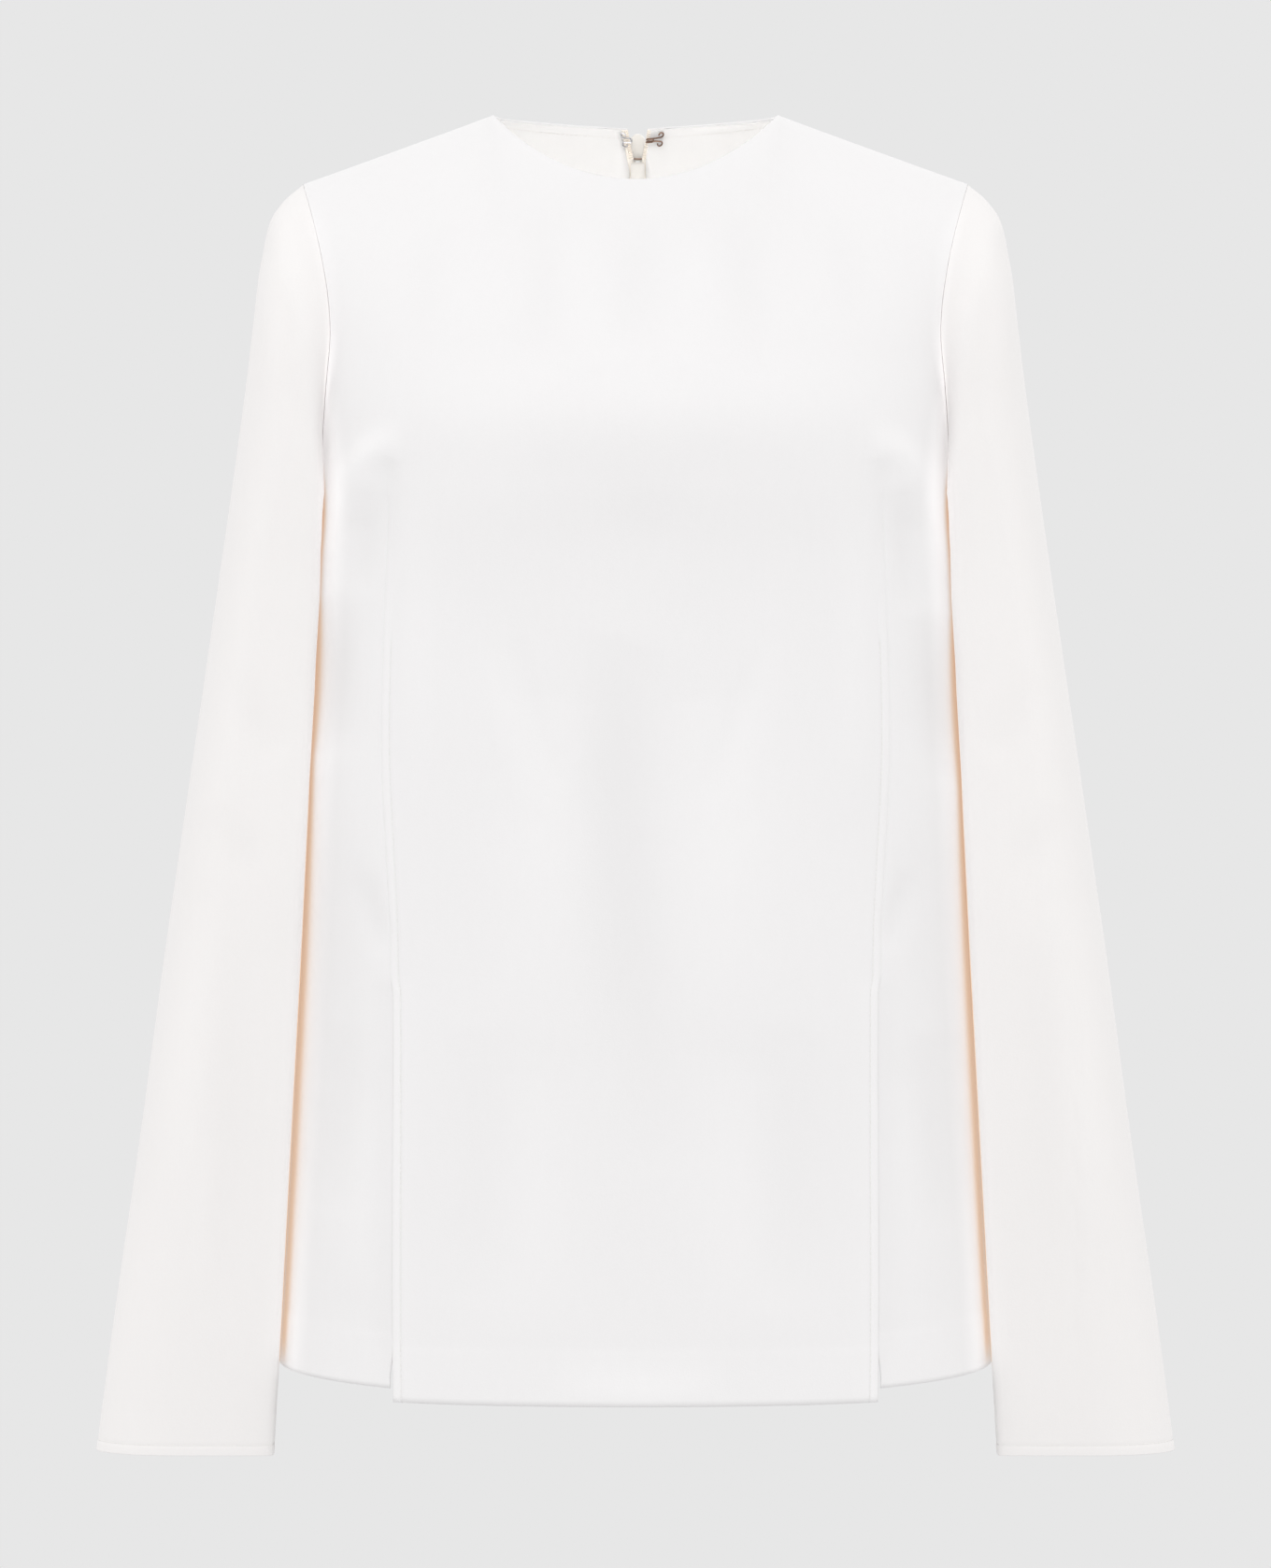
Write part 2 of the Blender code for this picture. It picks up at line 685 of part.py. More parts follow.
def sleeve_section(row, turn):
    """A point of a sleeve section: turn 0 outermost, a quarter turn in front, half innermost."""
    c, s = math.cos(turn), math.sin(turn)
    middle = (row.out_x + row.in_x) / 2
    x = (middle + row.mid_x) / 2 + (row.out_x - row.in_x) / 2 * c
    x += (middle - row.mid_x) / 2 * math.cos(2 * turn)
    centre_y = (row.front_y + row.back_y) / 2
    y = centre_y - (row.back_y - row.front_y) / 2 * s
    z = (row.out_z + row.in_z) / 2 + (row.out_z - row.in_z) / 2 * c
    return np.array([x, y, z])


def make_sleeve(name, hand):
    """One-piece sleeve, a tube from the armhole to the cuff."""
    edge = armhole(1)
    lengths = arc_lengths(edge)
    stations = np.arange(len(SLEEVE), dtype=float)
    columns = [[getattr(row, field) for row in SLEEVE] for field in Section._fields]

    def section(station):
        return Section(*(float(through(stations, values, station)) for values in columns))

    def edge_point(turn):
        return along_chain(edge, turn / (2 * math.pi) * lengths[-1])

    def place(turn, station):
        point = sleeve_section(section(station), turn)
        fade = max(1 - station / SLEEVE_FADE, 0.0) ** 2
        return point + fade * (edge_point(turn) - sleeve_section(SLEEVE[0], turn))

    rings = []
    for station in SLEEVE_ROWS:
        ring_points = []
        for k in range(SLEEVE_SEGMENTS):
            turn = 2 * math.pi * k / SLEEVE_SEGMENTS
            point = place(turn, station)
            if station == 0.0:
                away = place(turn, SLEEVE_START) - point
                point = point + away / np.linalg.norm(away) * SEAM_GAP
                point[0] += UNDERARM_CLEARANCE * (1 - math.cos(turn)) / 2
            ring_points.append(point * np.array([hand, 1.0, 1.0]))
        rings.append(ring_points)
    mesh = bpy.data.meshes.new(name)
    tube = bmesh.new()
    verts = [[tube.verts.new(p) for p in ring_points] for ring_points in rings]
    for above, below in zip(verts, verts[1:]):
        for k in range(SLEEVE_SEGMENTS):
            after = (k + 1) % SLEEVE_SEGMENTS
            face = (above[k], above[after], below[after], below[k])
            tube.faces.new(face if hand > 0 else face[::-1])
    bmesh.ops.recalc_face_normals(tube, faces=tube.faces)
    tube.to_mesh(mesh)
    tube.free()
    made = add_object(name, mesh, WOOL)
    thicken(made, WALL)
    return made


# ---------------------------------------------------------------- inside the back neck


class Panel:
    """A placed grid of outer points with the normals that its wall follows."""

    def __init__(self, made, columns, rows, hand):
        self.hand = hand
        self.points = np.zeros((rows + 1, columns + 1, 3))
        self.normals = np.zeros((rows + 1, columns + 1, 3))
        for vert in made.data.vertices:
            row, column = divmod(made.data.attributes["cell"].data[vert.index].value, 1000)
            self.points[row, column] = vert.co
            self.normals[row, column] = vert.normal

    def under(self, column, row, depth):
        """A point under the flat facets, at fractional places in the grid."""
        sunk = self.points - self.normals * depth
        i = min(int(row), sunk.shape[0] - 2)
        j = min(int(column), sunk.shape[1] - 2)
        s, t = row - i, column - j
        upper_edge = sunk[i, j] * (1 - t) + sunk[i, j + 1] * t
        lower_edge = sunk[i + 1, j] * (1 - t) + sunk[i + 1, j + 1] * t
        return upper_edge * (1 - s) + lower_edge * s

    def row_at(self, column, drop):
        """Fractional row that lies a distance down a column from its top."""
        line = np.array([self.under(column, row, 0.0) for row in range(len(self.points))])
        return float(np.interp(drop, arc_lengths(line), np.arange(len(line))))

    def column_at(self, row, x):
        """Fractional column at a distance from the middle plane, towards the panel's side."""
        line = [self.hand * self.under(j, row, 0.0)[0] for j in range(self.points.shape[1])]
        return float(np.interp(x, line, np.arange(len(line))))

    def frame(self, x, drop):
        """Point, sideways tangent, upward tangent and outward normal at a place on the panel."""
        row = self.row_at(1, drop)
        column = self.column_at(row, x)
        here = self.under(column, row, 0.0)
        across = self.under(column + 0.1, row, 0.0) - self.under(column - 0.05, row, 0.0)
        up = self.under(column, max(row - 0.1, 0.0), 0.0) - self.under(column, row + 0.1, 0.0)
        across /= np.linalg.norm(across)
        up /= np.linalg.norm(up)
        normal = np.cross(across, up)
        return here, across, up, normal * np.sign(normal[1])


def make_facing(name, hand, back):
    """Half of the back-neck facing, made from the back's own points moved inwards."""
    hps = BACK_NECK_SEGMENTS + 1
    stops = [None] + list(range(2, hps + FACING_SHOULDER_COLUMNS + 1))
    grid_rows = [back.row_at(1, LAYER_GAP)] + list(range(2, FACING_LAST_ROW + 1))
    flat = WALL + 2 * LAYER_GAP
    raised = WALL + TAPE_GAP + TAPE_WALL + LAYER_GAP

    def place(column, row, face_column):
        grid_row = grid_rows[row]
        if column > 0:
            stop = stops[column]
            short = column - len(stops) + len(FACING_CORNER)
            if row == len(grid_rows) - 1 and short >= 0:
                grid_row -= FACING_CORNER[short]
            return back.under(stop, grid_row, raised if stop == 2 else flat)
        z = back.under(1, grid_row, 0.0)[2]
        edge = max(zip_half_gap(z) + FACING_SETBACK[hand], FACING_MIN_SETBACK)
        return back.under(back.column_at(grid_row, edge + hand * ZIP_X), grid_row, raised)

    made = sheet(name, len(stops) - 1, len(grid_rows) - 1, place, FACING, wall=FACING_WALL)
    if hand > 0:
        made.data.flip_normals()
    return made


def make_tape(name, hand, back):
    """One zip tape, between the back and the facing, edge to edge with the opening."""
    grid_rows = [back.row_at(0, TAPE_DROP)] + list(range(2, back_row_near(back, -ZIP_END_Z) + 1))

    def place(column, row, face_column):
        grid_row = grid_rows[row]
        start = hand * back.under(0, grid_row, 0.0)[0] + LAYER_GAP / 2
        x = start + TAPE_WIDTH * column / 2
        return back.under(back.column_at(grid_row, x), grid_row, WALL + TAPE_GAP)

    made = sheet(name, 2, len(grid_rows) - 1, place, TAPE, wall=TAPE_WALL)
    if hand > 0:
        made.data.flip_normals()
    return made


def back_row_near(back, depth):
    """The grid row at the zip's lower end."""
    heights = -back.points[:, 0, 2]
    return int(np.searchsorted(heights, depth))


def make_chain(backs):
    """The zip's closed chain below the slider, a strip inside the tapes."""
    width, thickness = CHAIN_SIZE
    depth = WALL + TAPE_GAP + TAPE_WALL + LAYER_GAP
    slider_end = SLIDER_SIZE[2] - SLIDER_RISE - SLIDER_Z + LAYER_GAP
    first = float(np.interp(slider_end, -backs[1].points[:, 0, 2], np.arange(len(backs[1].points))))
    grid_rows = [first] + list(range(math.ceil(first), back_row_near(backs[1], -ZIP_END_Z) + 1))

    def place(column, row, face_column):
        hand = -1 if column == 0 else 1
        back = backs[hand]
        x = width / 2 + hand * ZIP_X
        return back.under(back.column_at(grid_rows[row], x), grid_rows[row], depth)

    made = sheet("zip_chain", 1, len(grid_rows) - 1, place, CHAIN, wall=thickness)
    made.data.flip_normals()
    return made


def slider_place(back):
    """World matrix of the slider: Y outwards and Z up along the back, at the pull's height."""
    row = float(np.interp(-SLIDER_Z, -back.points[:, 0, 2], np.arange(len(back.points))))
    here = back.under(0, row, 0.0)
    up = back.under(0, int(row), 0.0) - back.under(0, int(row) + 1, 0.0)
    tilt = math.atan2(-up[1], up[2])
    return Matrix.Translation((ZIP_X, here[1], here[2])) @ Matrix.Rotation(tilt, 4, "X")


def make_slider(place):
    """Slider body inside the tapes, a bridge out through the opening, and the pull's pin."""
    width, thickness, height = SLIDER_SIZE
    face = -(WALL + TAPE_GAP + TAPE_WALL + 2 * LAYER_GAP)
    middle_z = SLIDER_RISE - height / 2

    def body(bm):
        verts = box_mesh(bm, (width, thickness, height), (0, face - thickness / 2, middle_z))
        edges = {e for v in verts for e in v.link_edges}
        bmesh.ops.bevel(bm, geom=list(edges), offset=SLIDER_BEVEL, segments=2, affect="EDGES")

    def bridge(bm):
        reach = PIN_STAND_OFF - face + BRIDGE_SINK
        size = (2 * BRIDGE_HALF_WIDTH, reach, BRIDGE_HEIGHT)
        box_mesh(bm, size, (0, PIN_STAND_OFF - reach / 2, BRIDGE_RISE))

    def pin(bm):
        rod_mesh(bm, PIN_RADIUS, PIN_LENGTH, (0, PIN_STAND_OFF, 0))

    made = solid("zip_slider", body, ENAMEL)
    made.matrix_world = place
    for label, build in (("slider bridge", bridge), ("slider pin", pin)):
        helper = solid(label, build, ENAMEL, helper=True)
        helper.matrix_world = place
        combine(made, helper, "UNION")
    return made


def pull_outline():
    """Half-width of the pull at heights above its pin, as an outline in (x, z)."""
    top_centre = PULL_LENGTH - PULL_HALF_WIDTH
    left = [(PULL_BASE_HALF, PULL_START)]
    for turn in np.linspace(-0.25, math.pi / 2, 12):
        left.append((PULL_HALF_WIDTH * math.cos(turn), top_centre + PULL_HALF_WIDTH * math.sin(turn)))
    right = [(-x, z) for x, z in left[::-1]]
    return left + right[1:]


def make_pull(place):
    """Teardrop pull tab with two knuckles on the slider's pin."""
    flat = bpy.data.curves.new("pull outline", "CURVE")
    flat.dimensions = "2D"
    flat.fill_mode = "BOTH"
    flat.extrude = PULL_THICKNESS / 2
    spline = flat.splines.new("POLY")
    outline = pull_outline()
    spline.points.add(len(outline) - 1)
    for point, (x, z) in zip(spline.points, outline):
        point.co = (x, z, 0.0, 1.0)
    spline.use_cyclic_u = True
    plate = bpy.data.objects.new("pull outline", flat)
    bpy.data.collections[HELPERS].objects.link(plate)
    bpy.context.view_layer.update()
    mesh = bpy.data.meshes.new_from_object(plate.evaluated_get(bpy.context.evaluated_depsgraph_get()))
    bpy.data.objects.remove(plate, do_unlink=True)
    bm = bmesh.new()
    bm.from_mesh(mesh)
    bmesh.ops.remove_doubles(bm, verts=bm.verts, dist=0.00001)
    bmesh.ops.rotate(bm, matrix=Matrix.Rotation(math.pi / 2, 3, "X"), verts=bm.verts)
    bm.to_mesh(mesh)
    bm.free()
    mesh.name = "zip_pull"
    made = add_object("zip_pull", mesh, ENAMEL, smooth=False)
    axis = place @ Matrix.Translation((0, PIN_STAND_OFF, 0)) @ Matrix.Rotation(PULL_LEAN, 4, "X")
    made.matrix_world = axis

    def knuckles(bm):
        inner = BRIDGE_HALF_WIDTH + LAYER_GAP
        length = PULL_BASE_HALF - inner
        for hand in (1, -1):
            rod_mesh(bm, KNUCKLE_RADIUS, length, (hand * (inner + length / 2), 0, 0))

    def bore(bm):
        rod_mesh(bm, KNUCKLE_BORE, 2 * PIN_LENGTH, (0, 0, 0))

    def fork(bm):
        half = BRIDGE_HALF_WIDTH + LAYER_GAP
        box_mesh(bm, (2 * half, *FORK_SIZE), (0, 0, FORK_RISE))

    steps = (("knuckles", knuckles, "UNION"), ("bore", bore, "DIFFERENCE"), ("fork", fork, "DIFFERENCE"))
    for label, build, operation in steps:
        helper = solid("pull " + label, build, ENAMEL, helper=True)
        helper.matrix_world = axis
        combine(made, helper, operation)
    return made


# ---------------------------------------------------------------- hook and eye


def on_facing(places, back):
    """World points of a wire from (out from the centre, up from its level, off the facing)."""
    middle = sum(out for out, _, _ in places) / len(places)
    here, across, up, normal = back.frame(middle, HOOK_DROP)
    base = WALL + TAPE_GAP + TAPE_WALL + FACING_WALL + 3 * LAYER_GAP + WIRE_RADIUS
    across = across * np.sign(across[0] * here[0])
    return [
        here + across * (out - middle) + up * rise - normal * (base + height)
        for out, rise, height in places
    ]


def sewing_ring(out, up):
    """Points round a sewing ring, from its free end to the bottom, where the leg begins."""
    turns = np.radians(np.linspace(*RING_TURN, 13))
    return [(out + WIRE_RING * math.cos(a), up + WIRE_RING * math.sin(a), 0.0) for a in turns]


def both_legs(half):
    """A whole wire from its upper half, which ends on the middle line."""
    return half + [(out, -up, height) for out, up, height in half[-2::-1]]


def make_hook(back):
    """Hook at +X: two sewing rings, a pair of shanks and the bill folded back over them."""
    half = sewing_ring(*HOOK_RING)
    half += [(out, up, 0.0) for out, up in HOOK_NECK]
    half.append((HOOK_TIP + HOOK_FOLD, HOOK_SHANK, 0.0))
    for turn in np.linspace(0, math.pi, 7):
        out = HOOK_TIP - HOOK_FOLD * math.sin(turn)
        half.append((out, HOOK_SHANK, HOOK_FOLD * (1 - math.cos(turn))))
    for turn in np.linspace(0, math.pi / 2, 5):
        out = HOOK_BILL_END + HOOK_SHANK * math.sin(turn)
        half.append((out, HOOK_SHANK * math.cos(turn), 2 * HOOK_FOLD))
    return wire("hook", on_facing(both_legs(half), back), WIRE_RADIUS, BRONZE)


def make_eye(back):
    """Eye at -X: two sewing rings joined by a loop that reaches towards the opening."""
    half = sewing_ring(*EYE_RING)
    for turn in np.linspace(0, math.pi / 2, 6):
        out = EYE_END - EYE_LEG * math.sin(turn)
        half.append((out, EYE_LEG * math.cos(turn), 0.0))
    return wire("eye", on_facing(both_legs(half), back), WIRE_RADIUS, NICKEL)


# ---------------------------------------------------------------- build


def main():
    """Build every piece."""
    clear_scene()
    collection(COLLECTION)
    collection(HELPERS)
    make_front()
    backs = {hand: make_back(name, hand) for name, hand in (("back_left", 1), ("back_right", -1))}
    for name, hand in (("left", 1), ("right", -1)):
        make_sleeve("sleeve_" + name, hand)
        make_facing("neck_facing_" + name, hand, backs[hand])
        make_tape("zip_tape_" + name, hand, backs[hand])
    make_chain(backs)
    place = slider_place(backs[1])
    make_slider(place)
    make_pull(place)
    make_hook(backs[1])
    make_eye(backs[-1])


main()
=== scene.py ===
"""A woman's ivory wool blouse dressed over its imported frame: cloth panels with their seams, folds
and turned edges, topstitching, the invisible zip with its slider and pull, and the hook and eye.

Metres, +Z up. The front faces -Y and the wearer's left side is at +X.
"""

import math
from collections import namedtuple

import bmesh
import bpy
import numpy as np
from bpy.props import FloatProperty, FloatVectorProperty, PointerProperty
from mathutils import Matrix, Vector


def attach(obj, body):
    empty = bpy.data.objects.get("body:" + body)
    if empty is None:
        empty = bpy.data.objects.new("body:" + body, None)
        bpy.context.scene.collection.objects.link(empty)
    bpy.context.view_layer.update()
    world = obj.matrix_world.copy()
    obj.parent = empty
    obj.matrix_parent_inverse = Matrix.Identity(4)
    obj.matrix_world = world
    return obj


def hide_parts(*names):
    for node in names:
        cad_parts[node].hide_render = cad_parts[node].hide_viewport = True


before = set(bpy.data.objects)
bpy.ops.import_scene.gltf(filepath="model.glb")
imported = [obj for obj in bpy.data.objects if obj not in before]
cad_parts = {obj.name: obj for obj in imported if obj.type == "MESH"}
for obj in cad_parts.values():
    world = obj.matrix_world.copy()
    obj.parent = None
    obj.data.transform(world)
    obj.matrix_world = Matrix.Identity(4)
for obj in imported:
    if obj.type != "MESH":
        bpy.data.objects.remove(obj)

bl_info = {
    "name": "Wool blouse",
    "version": (1, 0, 0),
    "blender": (4, 5, 0),
    "location": "3D View > Sidebar > Blouse",
    "description": "Dresses the packed blouse with cloth, stitching and fastenings",
    "category": "Object",
}

BODY = "blouse"
TAB = "pull_tab"
HANDS = (("left", 1), ("right", -1))

# ---------------------------------------------------------------- sizes shared with the solids

NECK_HALF_WIDTH = 0.0763
NECK_SIDE_Y = 0.010
NECK_FRONT_Y = -0.067
NECK_FRONT_DROP = 0.043
NECK_BACK_Y = 0.066
NECK_BACK_RISE = 0.0015
SHOULDER_X = 0.178
SHOULDER_Y = 0.006
SHOULDER_Z = -0.0375
SIDE_SEAM_Y = 0.008
CHEST_Z = -0.130
UNDERARM_Z = -0.205
ARMHOLE_DEPTH = {-1: 0.056, 1: 0.055}
NECK_CORNER = {-1: 0.34, 1: 0.36}  # where neckline meets shoulder seam, as a share across
DART_TIP_Z = -0.2037
SLIT_TOP_Z = -0.4584
STITCH_INSET = 0.0055
SLIT_UNDERLAP = 0.004
HEM_CENTRE_Z = -0.677
HEM_SLIT_Z = -0.670
HEM_SIDE_Z = -0.6645
HEM_BACK_Z = -0.676
ZIP_X = 0.0012
ZIP_OPEN_HALF = 0.0059
ZIP_OPEN_END_Z = -0.0265
ZIP_END_Z = -0.235
SLIDER_END_Z = -0.0285

Level = namedtuple("Level", "z half_width front back squareness dart_x")
TORSO = (
    Level(-0.090, 0.1850, 0.0960, 0.0930, 2.10, 0.1200),
    Level(-0.130, 0.1790, 0.1140, 0.1010, 2.20, 0.1250),
    Level(-0.170, 0.1715, 0.1310, 0.1060, 2.35, 0.1280),
    Level(-0.205, 0.1675, 0.1310, 0.1060, 2.50, 0.1295),
    Level(-0.240, 0.1690, 0.1270, 0.1030, 2.60, 0.1298),
    Level(-0.340, 0.1738, 0.1265, 0.0970, 2.60, 0.1320),
    Level(-0.440, 0.1785, 0.1290, 0.0990, 2.55, 0.1275),
    Level(-0.540, 0.1838, 0.1320, 0.1040, 2.50, 0.1268),
    Level(-0.640, 0.1890, 0.1360, 0.1090, 2.50, 0.1268),
    Level(-0.680, 0.1912, 0.1375, 0.1110, 2.50, 0.1262),
)

# How the cloth leaves its top edge at shares of the way across
Leave = namedtuple("Leave", "share out forward up")
LEAVE = {
    -1: (
        Leave(0.000, 0.0000, -0.0380, -0.0750),
        Leave(0.085, 0.0100, -0.0450, -0.0660),
        Leave(0.170, 0.0240, -0.0540, -0.0564),
        Leave(0.255, 0.0400, -0.0630, -0.0450),
        Leave(0.340, 0.0480, -0.0740, -0.0200),
        Leave(0.450, 0.0320, -0.0730, -0.0190),
        Leave(0.600, 0.0150, -0.0700, -0.0190),
        Leave(0.800, 0.0045, -0.0700, -0.0120),
        Leave(1.000, 0.0000, -0.0700, 0.0000),
    ),
    1: (
        Leave(0.000, 0.0000, 0.0360, -0.0900),
        Leave(0.090, 0.0120, 0.0420, -0.0790),
        Leave(0.180, 0.0290, 0.0500, -0.0640),
        Leave(0.270, 0.0550, 0.0660, -0.0500),
        Leave(0.360, 0.0600, 0.0800, -0.0220),
        Leave(0.450, 0.0380, 0.0760, -0.0220),
        Leave(0.600, 0.0150, 0.0735, -0.0200),
        Leave(0.800, 0.0045, 0.0720, -0.0124),
        Leave(1.000, 0.0000, 0.0700, 0.0000),
    ),
}

# Rows sink towards the side: at depths below the neck, the quarter turn reached on the armhole
ARMHOLE_ROWS = ((0.130, 0.149, 0.167, 0.184, 0.195), (0.0, 23.6, 47.2, 66.9, 90.0))
LEVELLING = ((0.195, 0.2037, 0.238, 0.285, 0.700), (0.205, 0.213, 0.240, 0.285, 0.700))
HEM_BLEND_Z = -0.640

Section = namedtuple("Section", "out_x out_z in_x in_z mid_x front_y back_y")
SLEEVE = (
    Section(0.1780, -0.0375, 0.1685, -0.2050, 0.1650, -0.0500, 0.0640),
    Section(0.1895, -0.0480, 0.1693, -0.2100, 0.1690, -0.0560, 0.0700),
    Section(0.1975, -0.0640, 0.1698, -0.2150, 0.1740, -0.0590, 0.0740),
    Section(0.2040, -0.1100, 0.1702, -0.2220, 0.1810, -0.0600, 0.0770),
    Section(0.2105, -0.1600, 0.1706, -0.2340, 0.1870, -0.0590, 0.0780),
    Section(0.2190, -0.2220, 0.1712, -0.2600, 0.1945, -0.0580, 0.0760),
    Section(0.2290, -0.2930, 0.1738, -0.3050, 0.2020, -0.0590, 0.0700),
    Section(0.2385, -0.3600, 0.1768, -0.3600, 0.2080, -0.0610, 0.0620),
    Section(0.2495, -0.4400, 0.1805, -0.4400, 0.2150, -0.0630, 0.0500),
    Section(0.2625, -0.5400, 0.1858, -0.5400, 0.2245, -0.0610, 0.0330),
    Section(0.2765, -0.6400, 0.1912, -0.6400, 0.2340, -0.0560, 0.0160),
    Section(0.2860, -0.7120, 0.1955, -0.7120, 0.2408, -0.0510, 0.0090),
)

# ---------------------------------------------------------------- finish of the cloth

WALL = 0.0012
HEM_WALL = 0.0022
VISIBLE_GAP = 0.00004  # each panel stops this far from its seam line
SHOULDER_ROWS = 7  # rows below the shoulder seam over which the wall turns plumb
SOFT_ROLL = 0.15  # share of the roll left at armholes, shoulders, neckline and hems
FOLD_REACH = 2.6  # how far a fold is worked out on each side, in widths
FOLD_TAPER = 0.8
RELIEF_SHADE = 0.010  # painted shade in hollows and painted highlight on ridges, for each millimetre
DETAIL_SHADE = 3.5  # how much more painted shade and highlight stitched lines and edges get than folds do
SLIT_INSET = 0.0019  # how far a slit's edge lies from its dart's line, towards the centre
SLIT_THINNING = 0.0006  # the cloth is pressed thinner beside the slits
HEM_TURN = {"front": 0.030, "back": 0.030, "sleeve": 0.0055}
HEM_RISE = 0.00022  # a turned hem is thicker than the cloth above it
CUFF_RISE = 0.0002
STRIP_RISE = 0.00038  # the cloth between a dart and its topstitching stands out
Groove = namedtuple("Groove", "width depth")
SEAM_ROLL = Groove(0.0009, 0.00022)  # the cloth sinks into its seams
DART_GROOVE = Groove(0.0010, 0.0004)
SLIT_GROOVE = Groove(0.0008, 0.00012)
STITCH_GROOVE = Groove(0.0008, 0.0003)
HEM_GROOVE = Groove(0.0012, 0.00015)
CUFF_GROOVE = Groove(0.0008, 0.00025)
PUCKER = (0.00012, 0.0021)  # height and pitch of the ripples at the end of the zip

# Rows and columns of the cloth's mesh
EDGE_COLUMNS = (0.0, 0.0004, 0.0009, 0.0016, 0.0027)  # from an edge, closer than STEP
DART_COLUMNS = (0.0, 0.0005, 0.0011, 0.0019, 0.003, 0.0042, 0.005, 0.0055, 0.006, 0.0068, 0.0085)
CUFF_ROWS = (0.0080, 0.0070, 0.0062, 0.0055, 0.0048, 0.0038, 0.0027, 0.0016, 0.0009, 0.0004, 0.0)
STEP = 0.0034  # between rows of the cloth
ARMHOLE_STEP, UNDERARM_STEP = 0.0026, 0.0016
UNDERARM_ROWS = (-0.184, -0.196)  # the rows lie closest between these heights
BELOW_TOP_Z, BELOW_ROWS = -0.1965, 141
UPPER_ROWS = 34
SHARE_STEP = {"centre": 0.0125, "side": 0.0135, "back": 0.0145}  # between columns, as shares
SLEEVE_COLUMNS = 96
SLOPE_STEP = 0.004  # heights this far above and below the chest give the slope there
CENTRE_PANEL_WIDTH = 0.134  # from the centre to a dart, round the body
SIDE_PANEL_WIDTH = 0.120
BACK_PANEL_WIDTH = 0.240
CENTRE_EASE = 0.020

SLIT_STEP = (0.0003, 0.0006)  # the slit's centre edge stands out and its side edge sinks
STITCH_TOP_Z = -0.283
# Ranges over which the front's details fade in, as heights or as distances from the dart
DART_TOP = (DART_TIP_Z + 0.004, DART_TIP_Z - 0.018)
SLIT_TOP = (SLIT_TOP_Z, SLIT_TOP_Z - 0.008)
UNDERLAP_TOP = (SLIT_TOP_Z, SLIT_TOP_Z - 0.012)
STITCH_TOP = (STITCH_TOP_Z + 0.003, STITCH_TOP_Z - 0.001)
STRIP_TOP = (-0.255, -0.290)
STRIP_START = (0.0004, 0.0016)
STRIP_END = (STITCH_INSET + 0.0006, STITCH_INSET - 0.0006)
RAISED_BESIDE = (0.022, STITCH_INSET)
SUNK_BESIDE = (0.017, 0.0)
UNDERLAP_BESIDE = (0.006, 0.0)
INSET_BESIDE = (0.016, 0.0)
THIN_BESIDE = (0.014, 0.004)
CALM_SIDE = (0.030, 0.008)  # the folds die down towards the side seam
CALM = 0.85
PUCKER_END = (ZIP_END_Z - 0.004, ZIP_END_Z + 0.010)
PUCKER_BESIDE = (0.012, 0.002)
CORNER_PASSES = 40  # of softening below the ends of the shoulder seams
CORNER_REACH = (0.10, 0.04)  # shares across
CORNER_TOP = (0.004, 0.030)  # distances down, over which it fades in and out again
CORNER_END = (0.160, 0.110)
SHOULDER_START = (NECK_HALF_WIDTH - 0.006, NECK_HALF_WIDTH + 0.004)
SLEEVE_SEAM_GIRTH = 0.30  # round the sleeve, where its seam sinks
SLEEVE_SEAM_TOP = (0.002, 0.010)  # distances from the armhole over which the seam fades in
CAP_SECTIONS = 2.0  # over so many sections the sleeve leaves the shape of the armhole
CAP_TOP = (0.014, 0.002)  # where the sleeve's wall goes straight down beside the body's
CAP_HEIGHT = (-0.080, -0.058)
SLEEVE_CORNER = 4.5  # how square a sleeve is where its front turns in towards the body
SLEEVE_CORNER_TURN = ((1.20, 1.52), (1.98, 1.68))  # in quarter turns from the outermost line
SLEEVE_CORNER_TOP = (-0.150, -0.225)
SLEEVE_REACH = 0.0048  # how far in front of the body's side that corner comes
SLEEVE_CLEARANCE = 0.0016  # left between that corner and the body
UNDERARM_CLEARANCE = 0.0002  # left between sleeve and body right under the armhole seam
STITCH_LIFT = 0.35  # how far above the cloth a stitch's middle lies, in widths of the thread
UNDERSTITCH_LIFT = 0.5

# Painted glow that fills the shade between body and sleeve, most of all where they touch in front
PAINTED_GLOW_SHARE = 0.19  # painted glow, as a share of the colour
BESIDE_SLEEVE = (-0.100, -0.165)  # heights over which body and sleeve come together
SEAM_FILL = 1.6  # right at the armhole seam, on top of the rest
SEAM_LINE = 0.0012  # how far that reaches from the seam
BODY_SEAM_REACH = 0.0100
SLEEVE_SEAM_REACH = 0.0060
SEAM_START = 0.0004
SEAM_UNDERARM = (-0.230, -0.205)
ARMHOLE_FILL = (0.18, 0.82)  # shares of it from the shoulder down and beside the sleeve
ARMHOLE_TOP = (-0.040, -0.070)
UNDERARM_FILL = 0.45  # more of it under the arm
BODY_GLOW = (0.0024, 0.0006)  # by distance in from the body's side
BODY_FILL = (0.020, 0.005)
GLOW_FRONT = (-0.004, -0.018)  # by y
FILL_FRONT = (0.006, -0.006)
SEAM_FRONT = (0.012, -0.006)
SLEEVE_GLOW = ((1.58, 1.70), (1.94, 1.82))  # by quarter turns from the outermost line
SLEEVE_FILL = (1.34, 1.66)
SLEEVE_FRONT = (2.08, 1.92)
SLEEVE_SEAM_FRONT = (2.12, 1.92)
ABOVE_CUFF = (-0.668, -0.652)

